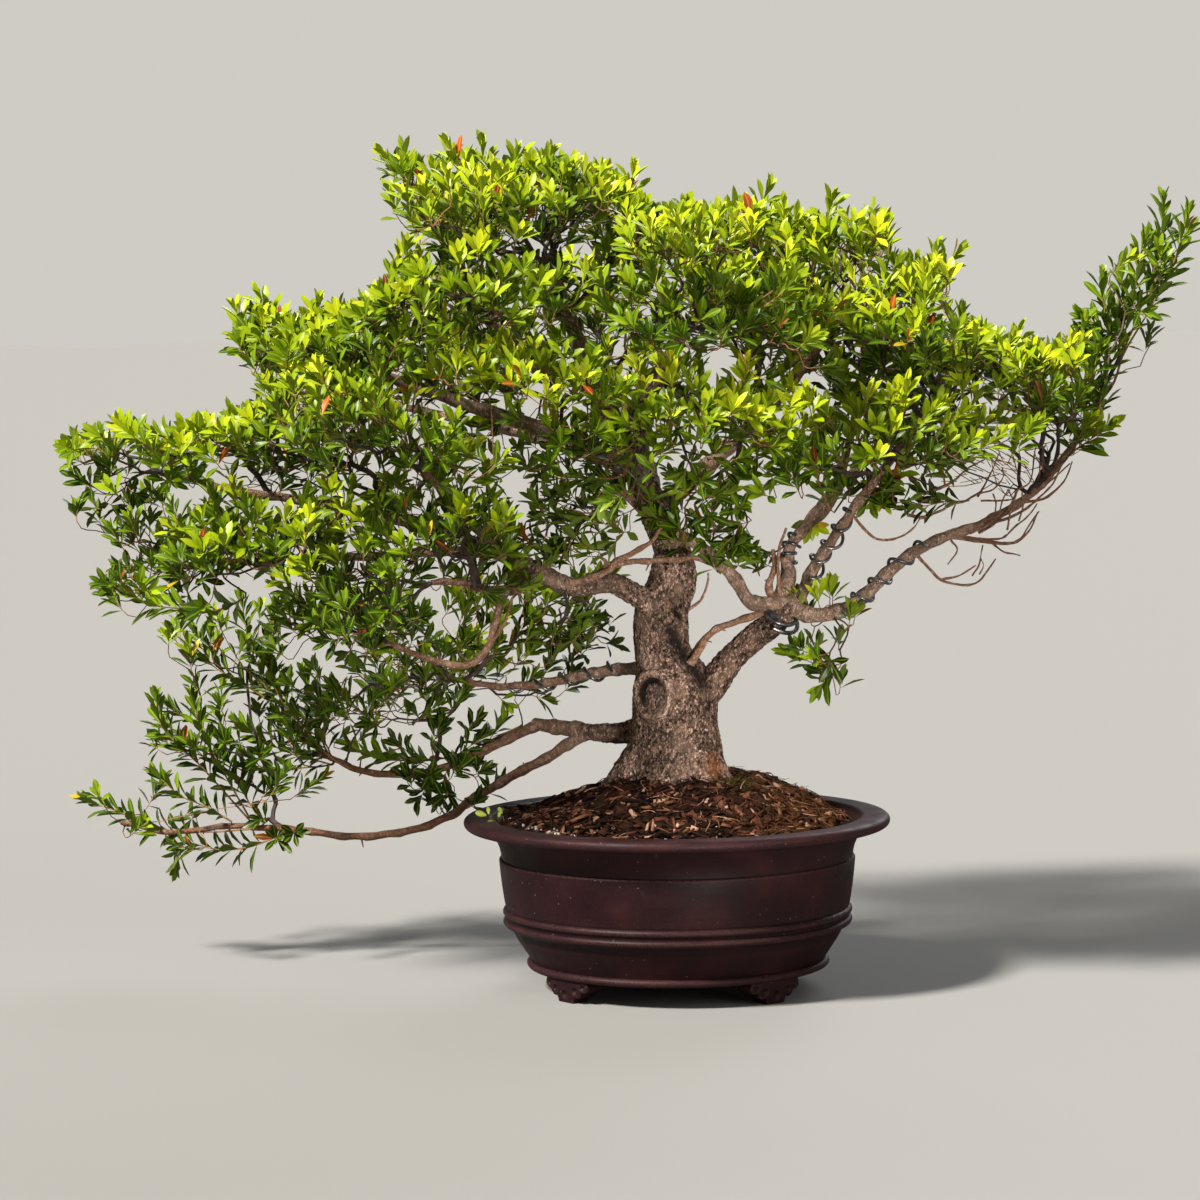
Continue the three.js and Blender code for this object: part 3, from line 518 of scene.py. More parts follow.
def screen_material():
    material, tree, shader = new_material("black_mesh_plastic")
    cloud, grain, _, _ = mottled(tree, 60, 900, 300)
    tint = ramp(tree, grain, [(0.3, (0.012, 0.012, 0.014)), (0.75, (0.042, 0.038, 0.034))])
    rough = spread(tree, cloud, 0.3, 0.7, 0.38, 0.62)
    feed(tree, shader, Base_Color=tint, Roughness=rough, Normal=bump(tree, grain, 0.2, 0.0003))
    return material


def soil_material():
    material, tree, shader = new_material("bonsai_soil", Roughness=0.95)
    cloud, grain, speck, place = mottled(tree, 90, 500, 260)
    crumb = cells_of(tree, place, 330.0)["Distance"]
    # Lighter on each crumb and painted darker in the gaps between them, in step with the bump: a painted
    # shade.
    browns = [(0.1, (0.085, 0.052, 0.032)), (0.5, (0.035, 0.021, 0.014)), (0.8, (0.009, 0.006, 0.004))]
    tint = coated(
        tree,
        ramp(tree, crumb, browns),
        (spread(tree, cloud, 0.4, 0.7, 0, 0.5), (0.06, 0.034, 0.018)),
        (speck, (0.34, 0.28, 0.2)),
    )
    height = maths(tree, "SUBTRACT", times(tree, grain, 0.4), crumb)
    feed(tree, shader, Base_Color=tint, Normal=bump(tree, height, 0.8, 0.002))
    return material


screen_finish = screen_material()
for screen_name in ("drainage_screen_1", "drainage_screen_2"):
    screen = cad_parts[screen_name]
    screen.data.materials.clear()
    screen.data.materials.append(screen_finish)
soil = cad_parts["soil"]
soil.data.materials.clear()
soil.data.materials.append(soil_material())

# ---------------------------------------------------------------- bark mulch
# A layer of shredded bark over the soil, heaped up to the trunk: a lumpy bed of fines, flat flakes,
# slivers and curled fibres on it, two old twigs, white grit and a patch of moss.

MULCH_EDGE_HEIGHT = 134
MOUND_HEIGHT = 170
MOUND_RADIUS = 38
MULCH_THICKNESS = 12
RIGHT_SHOULDER = 20  # how much farther out the mound starts to fall on the tree's right
LEFT_HEAP = 7.5
LEFT_HEAP_WAY = math.radians(-125)
SOIL_SAG = 2
BED_SINK = 1.2  # the bed's top below the chips' ground
BED_CRUMBLE = 1.5
CAVITY = [(149, 140), (145, 136), (142, 124), (137, 104), (130, 70), (122, 45), (110, 30)]
BED_RINGS = (122, 92, 62, 30)
FALLEN_TWIGS = [
    [[-66, -55, 149, 0.9], [-50, -62, 157, 1.3], [-34, -73, 160.4, 1.5], [-23, -82, 158.4, 1.4],
     [-16, -97, 150.5, 0.9]],
    [[4, -86, 153, 0.8], [12, -88, 155.2, 1.2], [26, -89.5, 155.2, 1.3], [44, -99, 149.5, 0.8]],
]  # fmt: skip
MOSS = (44, -30)
MOSS_REACH = 15


def cavity_radius(height):
    """Radius of the pot's inner wall at a height."""
    radii, heights = np.array(CAVITY).T
    return float(np.interp(height, heights[::-1], radii[::-1]))


def smoothstep(value, low, high):
    t = np.clip((value - low) / (high - low), 0, 1)
    return t * t * (3 - 2 * t)


def mound_height(x, y):
    """Top of the mulch over a place. It falls away later on the tree's right, and is heaped higher
    against the rim behind the tree's left."""
    radius = np.hypot(x, y)
    angle = np.arctan2(x, -y)
    side = np.sin(angle)
    edge = cavity_radius(MULCH_EDGE_HEIGHT)
    start = MOUND_RADIUS + RIGHT_SHOULDER * np.maximum(side, 0)
    fall = smoothstep(radius, start, edge + 12 * side)
    lumps = 1.4 * np.sin(5 * angle + radius / 9) + 1.1 * np.sin(8 * angle - radius / 6)
    towards = smoothstep(-np.cos(angle - LEFT_HEAP_WAY), 0.25, -0.6)
    heap = LEFT_HEAP * towards * smoothstep(radius, 60, 125)
    return MOUND_HEIGHT + (MULCH_EDGE_HEIGHT - MOUND_HEIGHT) * fall + lumps + heap


def soil_height(radius):
    edge = MULCH_EDGE_HEIGHT - MULCH_THICKNESS
    fall = smoothstep(radius, MOUND_RADIUS, cavity_radius(edge))
    return MOUND_HEIGHT - MULCH_THICKNESS + (edge - MOUND_HEIGHT + MULCH_THICKNESS) * fall - SOIL_SAG


def mesh_piece(name, places, face_sets):
    """A piece from places in millimetres and arrays of faces, each array with its own corner count."""
    mesh = bpy.data.meshes.new(name)
    corners = np.concatenate([faces.ravel() for faces in face_sets]).astype(np.int32)
    counts = np.concatenate([np.full(len(faces), faces.shape[1]) for faces in face_sets])
    mesh.vertices.add(len(places))
    mesh.vertices.foreach_set("co", metres(places).ravel())
    mesh.loops.add(len(corners))
    mesh.loops.foreach_set("vertex_index", corners)
    mesh.polygons.add(len(counts))
    mesh.polygons.foreach_set("loop_start", (np.cumsum(counts) - counts).astype(np.int32))
    mesh.update(calc_edges=True)
    mesh.validate()
    return new_object(name, mesh)


def smooth_route(route, steps):
    """A route as a smooth line through its points, with that many steps from each to the next."""
    points = np.array(route, float)
    points = np.concatenate([[2 * points[0] - points[1]], points, [2 * points[-1] - points[-2]]])
    line = []
    for p in zip(points, points[1:], points[2:], points[3:]):
        gaps = [math.sqrt(np.linalg.norm(b[:3] - a[:3])) for a, b in zip(p, p[1:])]
        k = np.cumsum([0, *gaps])
        t = np.linspace(k[1], k[2], steps, endpoint=False)[:, None]
        a = [((k[i + 1] - t) * p[i] + (t - k[i]) * p[i + 1]) / (k[i + 1] - k[i]) for i in range(3)]
        b = [((k[i + 2] - t) * a[i] + (t - k[i]) * a[i + 1]) / (k[i + 2] - k[i]) for i in range(2)]
        line.append(((k[2] - t) * b[0] + (t - k[1]) * b[1]) / (k[2] - k[1]))
    return np.concatenate([*line, points[-2:-1]])


def rods(paths, sides):
    """Closed round rods along paths[rod, point] = (x, y, z, radius): places and faces."""
    count, steps = paths.shape[:2]
    centre = paths[..., :3]
    along = np.gradient(centre, axis=1)
    along /= np.linalg.norm(along, axis=2, keepdims=True).clip(1e-9)
    across = np.empty_like(along)
    start = np.cross(along[:, 0], np.eye(3)[np.argmin(np.abs(along[:, 0]), axis=1)])
    across[:, 0] = start / np.linalg.norm(start, axis=1, keepdims=True)
    for i in range(1, steps):
        before = across[:, i - 1]
        step = before - along[:, i] * np.sum(before * along[:, i], axis=1, keepdims=True)
        across[:, i] = step / np.linalg.norm(step, axis=1, keepdims=True).clip(1e-9)
    third = np.cross(along, across)
    turn = 2 * math.pi * np.arange(sides) / sides
    ring = across[:, :, None] * np.cos(turn)[:, None] + third[:, :, None] * np.sin(turn)[:, None]
    places = centre[:, :, None] + ring * paths[:, :, None, 3:]
    grid = np.arange(count * steps * sides).reshape(count, steps, sides)
    beside = np.roll(grid, -1, axis=2)
    wall = np.stack([grid[:, :-1], beside[:, :-1], beside[:, 1:], grid[:, 1:]], axis=-1).reshape(-1, 4)
    caps = np.concatenate([grid[:, 0, ::-1], grid[:, -1]])
    return places.reshape(-1, 3), [wall, caps]


def gather(parts):
    """Several (places, faces) as one, and the part that each place belongs to."""
    places = np.concatenate([part[0] for part in parts])
    starts = np.cumsum([0] + [len(part[0]) for part in parts[:-1]])
    faces = [face_set + start for part, start in zip(parts, starts) for face_set in part[1]]
    owner = np.concatenate([np.full(len(part[0]), i) for i, part in enumerate(parts)])
    return places, faces, owner


def random_turns(rng, count, tilt, ground):
    """Turning matrices: any heading, a small tilt, and a roll, on ground with those normals."""
    heading = rng.uniform(0, 2 * math.pi, count)
    lean = rng.normal(0, tilt, (count, 2))
    along = np.stack([np.cos(heading), np.sin(heading), lean[:, 0]], axis=1)
    along -= ground * np.sum(along * ground, axis=1, keepdims=True) * 0.85
    along /= np.linalg.norm(along, axis=1, keepdims=True)
    up = ground + np.stack([lean[:, 1], -lean[:, 0], np.zeros(count)], axis=1)
    side = np.cross(up, along)
    side /= np.linalg.norm(side, axis=1, keepdims=True)
    return np.stack([along, side, np.cross(along, side)], axis=2)


def scattered(rng, count, reach, sink):
    """Random places on the mulch, denser by area, with the ground's normal at each."""
    angle = rng.uniform(0, 2 * math.pi, count)
    radius = reach * np.sqrt(rng.uniform(0.03, 1, count))
    x, y = radius * np.sin(angle), -radius * np.cos(angle)
    step = 2.0
    rise_x = mound_height(x + step, y) - mound_height(x - step, y)
    rise_y = mound_height(x, y + step) - mound_height(x, y - step)
    slope = np.stack([rise_x, rise_y], axis=1)
    ground = np.concatenate([-slope / (2 * step), np.ones((count, 1))], axis=1)
    ground /= np.linalg.norm(ground, axis=1, keepdims=True)
    places = np.stack([x, y, mound_height(x, y) + rng.uniform(-sink, sink, count)], axis=1)
    return places, ground


BLOCK = np.array([(x, y, z) for z in (-1, 1) for x, y in ((-1, -1), (1, -1), (1, 1), (-1, 1))])
BLOCK_SIDES = np.array([(3, 2, 1, 0), (4, 5, 6, 7), (0, 1, 5, 4), (1, 2, 6, 5), (2, 3, 7, 6), (3, 0, 4, 7)])


def blocks(shapes, places):
    """Six-sided crumbs: the eight corners of each about its place."""
    faces = (BLOCK_SIDES[None] + len(BLOCK) * np.arange(len(shapes))[:, None, None]).reshape(-1, 4)
    return (shapes + places[:, None]).reshape(-1, 3), [faces]


def chips(rng, count, length, width, thickness):
    """Flat broken flakes, no two alike."""
    places, ground = scattered(rng, count, cavity_radius(MULCH_EDGE_HEIGHT) - 6, 1.6)
    size = np.stack([rng.uniform(*span, count) for span in (length, width, thickness)], axis=1)
    corner = BLOCK * 0.5
    shape = corner[None] * size[:, None]
    shape[..., 1] *= 1 + 0.9 * corner[None, :, 0] * rng.uniform(-1, 1, (count, 1))
    shape += rng.normal(0, 0.07, shape.shape) * size[:, None]
    shape[..., 2] += rng.uniform(-0.02, 0.02, (count, 1)) * shape[..., 0] ** 2
    return blocks(np.einsum("nij,nkj->nki", random_turns(rng, count, 0.8, ground), shape), places)


def fibres(rng, count, length, radius, curl, side_share=0.0):
    """Thin curled strands that lie on the chips, some of them only on the tree's right."""
    places, ground = scattered(rng, count, cavity_radius(MULCH_EDGE_HEIGHT) - 8, 0.8)
    moved = rng.uniform(size=count) < side_share
    places[moved, 0] = np.abs(places[moved, 0])
    places[:, 2] = mound_height(places[:, 0], places[:, 1]) + rng.uniform(0.2, 2.2, count)
    steps = 6
    t = np.linspace(-0.5, 0.5, steps)
    span = rng.uniform(*length, count)[:, None]
    bend = rng.normal(0, curl, (count, 1))
    shape = np.stack([t * span, bend * span * (t**2 - 0.1), 0.5 * np.abs(bend) * span * (0.2 - t**2)], axis=2)
    shape = np.einsum("nij,nkj->nki", random_turns(rng, count, 0.25, ground), shape) + places[:, None]
    thick = rng.uniform(*radius, count)[:, None] * (1 - 1.4 * t**2)
    return rods(np.concatenate([shape, thick[..., None]], axis=2), 3)


def grit(rng, count):
    """Pale crumbs of pumice that have worked up to the edge at the front left."""
    angle = np.radians(rng.normal(-48, 20, count))
    radius = cavity_radius(MULCH_EDGE_HEIGHT) - rng.gamma(1.6, 5.0, count) - 2
    x, y = radius * np.sin(angle), -radius * np.cos(angle)
    shape = BLOCK[None] * rng.uniform(0.4, 1.2, (count, 1, 1)) * rng.uniform(0.7, 1.1, (count, 8, 3))
    return blocks(shape, np.stack([x, y, mound_height(x, y) + 0.6], axis=1))


rng = np.random.default_rng(11)
bed_outline = [(0.4, soil_height(0) + 0.3)]
bed_outline += [(r, soil_height(r) + 0.3) for r in BED_RINGS[::-1]]
bed_outline += [(cavity_radius(120.3) - 0.8, 120.3), (cavity_radius(132) - 0.8, MULCH_EDGE_HEIGHT - 2)]
bed_outline += [(r, MULCH_EDGE_HEIGHT) for r in (140, 136, 130, 124, *range(118, 33, -7), 26, 18, 10, 0.4)]
bed = turned_piece("mulch_bed", bed_outline, 120)
bed_places = (vertices_of(bed) - AXIS) / MM
on_top = bed_places[:, 2] > MULCH_EDGE_HEIGHT - 0.5
top_x, top_y = bed_places[on_top, 0], bed_places[on_top, 1]
top_points = [Vector((x, y, 5.0)) * 0.16 for x, y in zip(top_x, top_y)]
crumble = np.array([noise.fractal(point, 1.0, 2.0, 3) for point in top_points])
fade = smoothstep(np.hypot(top_x, top_y), 143, 120)
bed_places[on_top, 2] = mound_height(top_x, top_y) - BED_SINK + BED_CRUMBLE * crumble * fade
move_vertices(bed, metres(bed_places))
smooth_shading(bed, 70)

# What lies on the bed: each kind with the number of corners that one of its pieces has.
TWIG_CORNERS = 1000  # more than a twig has, so that each twig is one piece
CHIP_KINDS = [
    (8, chips(rng, 1500, (5, 14), (2.2, 5.5), (0.6, 1.6))),
    (8, chips(rng, 1900, (2, 6), (1.2, 3.2), (0.5, 1.3))),
    (18, fibres(rng, 620, (9, 26), (0.28, 0.6), 0.5)),
    (18, fibres(rng, 560, (6, 20), (0.18, 0.38), 0.9, side_share=0.8)),
    (18, fibres(rng, 150, (10, 22), (0.3, 0.55), 0.7)),
    *((TWIG_CORNERS, rods(smooth_route(twig, 6)[None], 7)) for twig in FALLEN_TWIGS),
    (8, grit(rng, 34)),
]
RUSTY_FIBRES = 3
OLD_TWIGS = (5, 6)
PALE_GRIT = 7
OLD_TONE = 0.16
PALE_TONE = 1.3
MOST_PIECES = 4000  # of a kind
chip_places, chip_faces, chip_kind = gather([part for _, part in CHIP_KINDS])
mulch_chips = mesh_piece("mulch_chips", chip_places, chip_faces)
corners_each = np.array([corners for corners, _ in CHIP_KINDS])[chip_kind]
kind_starts = np.searchsorted(chip_kind, np.arange(len(CHIP_KINDS)))
shard = (np.arange(len(chip_kind)) - kind_starts[chip_kind]) // corners_each + MOST_PIECES * chip_kind
shard_tone = rng.uniform(size=shard.max() + 1)[shard]
shard_tone[np.isin(chip_kind, OLD_TWIGS)] = OLD_TONE
shard_tone[chip_kind == PALE_GRIT] = PALE_TONE
add_value(mulch_chips, "tone", shard_tone)
right_side = smoothstep(chip_places[:, 0], 10, 110)
add_value(mulch_chips, "rust", right_side * 0.22 + 0.25 * (chip_kind == RUSTY_FIBRES))
off_moss = np.hypot(chip_places[:, 0] - MOSS[0], chip_places[:, 1] - MOSS[1])
add_value(mulch_chips, "moss", np.exp(-(off_moss / MOSS_REACH) ** 2))
for name, value in (("tone", 0.1), ("rust", 0.1), ("moss", 0)):
    add_value(bed, name, np.full(len(bed.data.vertices), value))


def mulch_material():
    """Shredded pine bark: most of it red-brown, new breaks tan and pink, old pieces nearly black."""
    material, tree, shader = new_material("shredded_bark", Roughness=0.86, Specular_IOR_Level=0.1)
    cloud, grain, _, _ = mottled(tree, 180, 700, 300)
    shade = plus(tree, times(tree, value_of(tree, "tone"), 0.86), times(tree, cloud, 0.16))
    browns = [
        (0.14, (0.0035, 0.0018, 0.0014)), (0.50, (0.020, 0.0078, 0.0052)), (0.76, (0.110, 0.038, 0.021)),
        (0.88, (0.25, 0.115, 0.066)), (0.95, (0.66, 0.40, 0.27)), (1.0, (0.62, 0.60, 0.57)),
    ]  # fmt: skip
    tint = coated(
        tree,
        ramp(tree, shade, browns),
        (value_of(tree, "rust"), (0.21, 0.085, 0.022)),
        (spread(tree, grain, 0.5, 0.72, 0, 0.5), (0.025, 0.014, 0.010)),
        (times(tree, value_of(tree, "moss"), spread(tree, cloud, 0.35, 0.6)), (0.105, 0.12, 0.018)),
    )
    feed(tree, shader, Base_Color=tint, Normal=bump(tree, grain, 0.5, 0.0006))
    return material


shredded_bark = mulch_material()
mulch_chips.data.materials.append(shredded_bark)
bed.data.materials.append(shredded_bark)
for piece in (bed, mulch_chips):
    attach(piece, "root")
    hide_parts("bark_mulch")

# ---------------------------------------------------------------- trunk and limbs
# Old azalea wood, one grown piece from the flared roots to the limbs' ends. The trunk and the heavy
# limbs are joined as clay, then carved: flutes, a healed knot, a scar and flaky bark. The light
# limbs, their stubs and bare twigs are drawn along their routes. A route is [x, y, z, radius].

LIMBS = {
    "trunk": [
        [0, 2, 118, 40], [0, 2, 159, 42], [1, 2, 191, 37.5], [-1, 0, 216, 34.5], [-1, 0, 240, 34],
        [-9, 0, 269, 23.5], [-10, 0, 302, 23], [-2, 0, 325, 19.5], [-1, 0, 340, 18.5], [-2, 2, 355, 15.5],
        [-11, 6, 378, 13.5], [-26, 10, 410, 11.5], [-45, 14, 451, 9.5], [-66, 16, 499, 7.5],
        [-84, 14, 548, 5.5], [-98, 10, 587, 4],
    ],
    "left_arching": [
        [-10, -6, 305, 10], [-32, -16, 320, 9], [-52, -27, 330, 8.5], [-76, -38, 327, 7.5],
        [-91, -46, 333, 7], [-115, -54, 346, 6.5], [-154, -58, 363, 5.5], [-209, -56, 382, 4.5],
        [-273, -50, 396, 3.8], [-340, -44, 407, 3], [-404, -38, 421, 2.4],
    ],
    "left_low": [
        [-138, -58, 357, 4.6], [-185, -66, 359, 4], [-241, -64, 356, 3.4], [-301, -56, 353, 2.8],
        [-365, -48, 352, 2.2],
    ],
    "low_front_left": [
        [-91, -46, 332, 5], [-109, -58, 337, 4.6], [-125, -70, 328, 4], [-147, -82, 330, 3.4],
        [-169, -92, 336, 2.8], [-192, -100, 337, 2.2],
    ],
    "hanging": [
        [-116, -54, 345, 4], [-132, -62, 330, 3.4], [-140, -68, 312, 3.2], [-148, -74, 285, 3],
        [-164, -80, 270, 2.8], [-194, -88, 276, 2.4], [-227, -95, 290, 2],
    ],
    "crossing": [
        [-88, -44, 331, 3.4], [-70, -50, 335, 2.9], [-52, -56, 343, 2.6], [-46, -60, 350, 2.4],
        [-24, -66, 361, 1.9], [-10, -72, 376, 1.3],
    ],
    "front_left": [[-134, -58, 354, 5], [-153, -96, 377, 4], [-175, -128, 403, 3.2], [-197, -148, 428, 2.4]],
    "right": [
        [12, -4, 233, 15], [29, -10, 246, 13], [46, -14, 268, 11.5], [65, -18, 285, 11],
        [81, -21, 297, 10.5], [90, -22, 313, 11],
    ],
    "inner_right": [
        [89, -24, 314, 7], [74, -30, 312, 6], [60, -35, 315, 5.5], [48, -38, 332, 5],
        [34, -40, 348, 5], [19, -42, 360, 4.6], [-2, -42, 372, 4], [-27, -60, 391, 3.2], [-59, -95, 423, 2.6],
    ],
    "upright_right": [
        [90, -20, 314, 6], [90, -14, 333, 5.2], [93, -6, 355, 4.6], [107, 4, 371, 4],
        [129, 16, 392, 3.6], [144, 24, 440, 3], [154, 20, 497, 2.4], [159, 14, 545, 2],
    ],
    "leaning_right": [
        [92, -26, 311, 6], [101, -32, 320, 5.2], [111, -40, 342, 4.6], [125, -48, 363, 4],
        [140, -56, 387, 3.6], [170, -62, 425, 3.2], [206, -66, 466, 2.4],
    ],
    "main_right": [
        [91, -24, 310, 7], [106, -28, 303, 6], [130, -30, 305, 5.6], [150, -28, 316, 5.2],
        [168, -24, 333, 4.8], [192, -18, 351, 4.4], [218, -12, 363, 4], [246, -6, 372, 3.6],
        [279, 0, 389, 3.2], [308, 2, 415, 2.8], [332, 0, 451, 2.4],
    ],
    "back_right": [[99, 0, 363, 4.4], [126, 48, 391, 4], [167, 94, 425, 3.2], [214, 126, 460, 2.4]],
    "back_left_wired": [
        [-20, 12, 258, 6], [-38, 28, 256, 5], [-61, 46, 252, 4.6], [-84, 64, 246, 4],
        [-110, 84, 239, 3.4], [-144, 106, 236, 2.8], [-182, 122, 240, 2.2],
    ],
    "back_low": [
        [-16, 14, 214, 11], [-38, 34, 204, 9], [-57, 54, 201, 8], [-76, 74, 201, 7],
        [-96, 94, 202, 6], [-115, 110, 203, 5],
    ],
    "long_trailing": [
        [-70, 68, 201, 5.5], [-89, 84, 188, 4.6], [-118, 104, 169, 4], [-147, 122, 152, 3.8],
        [-170, 130, 138, 3.6], [-192, 136, 122, 3.4], [-231, 138, 110, 3.2], [-278, 140, 107, 3],
        [-324, 140, 113, 2.8], [-375, 140, 117, 2.4], [-426, 140, 112, 2], [-467, 138, 122, 1.8],
    ],
    "second_trailing": [
        [-112, 107, 203, 4.5], [-145, 122, 187, 3.8], [-184, 134, 168, 3.3], [-222, 142, 159, 3],
        [-265, 148, 162, 2.6], [-299, 152, 179, 2.3], [-328, 152, 208, 2],
    ],
    "upper_left": [
        [-31, 9, 419, 8.5], [-70, -4, 439, 7], [-114, -18, 457, 5.8], [-165, -32, 474, 4.8],
        [-216, -40, 493, 3.8], [-267, -42, 514, 3], [-303, -40, 528, 2.4],
    ],
    "upper_right": [
        [-14, 6, 385, 9], [18, 2, 412, 7], [50, -6, 442, 5.8], [85, -14, 476, 4.6],
        [114, -20, 514, 3.6], [138, -22, 553, 2.8],
    ],
    "upper_front": [
        [-26, 6, 412, 7], [-25, -40, 438, 5.6], [-19, -84, 469, 4.6], [-8, -122, 504, 3.4],
        [1, -142, 530, 2.4],
    ],
    "upper_back_right": [
        [-42, 15, 446, 7], [-25, 56, 474, 5.6], [2, 96, 512, 4.6], [31, 124, 551, 3.4], [52, 136, 582, 2.4],
    ],
    "upper_back_left": [
        [-31, 12, 420, 7], [-75, 66, 433, 5.6], [-133, 112, 449, 4.6], [-201, 146, 464, 3.4],
        [-250, 160, 476, 2.4],
    ],
    "front_centre": [[-57, 13, 477, 6], [-89, -44, 501, 4.6], [-120, -92, 521, 3.4], [-142, -120, 539, 2.4]],
    "back_centre": [
        [-14, 8, 388, 6], [-17, 64, 416, 5], [-25, 116, 439, 4], [-34, 160, 463, 3], [-45, 184, 484, 2.4],
    ],
    "apex_left": [
        [-80, 14, 538, 5], [-113, 8, 564, 4.2], [-149, 2, 593, 3.4], [-184, -2, 625, 2.6], [-206, -4, 649, 2],
    ],
}  # fmt: skip

ROOTS = [
    [[-11, 2, 208, 22], [-30, -4, 184, 15], [-50, -8, 164, 10], [-80, -14, 140, 6]],
    [[10, 2, 204, 22], [24, -6, 184, 15], [36, -12, 166, 11], [58, -22, 140, 6]],
    [[-6, -8, 196, 22], [-12, -24, 179, 14], [-18, -38, 160, 9], [-26, -56, 136, 5]],
    [[8, -8, 196, 22], [18, -26, 178, 14], [27, -42, 158, 10], [42, -62, 134, 5]],
    [[0, 12, 200, 22], [4, 34, 182, 15], [8, 54, 162, 10], [12, 78, 136, 6]],
    [[-12, 8, 200, 20], [-34, 28, 178, 13], [-52, 44, 158, 8], [-70, 60, 134, 5]],
]

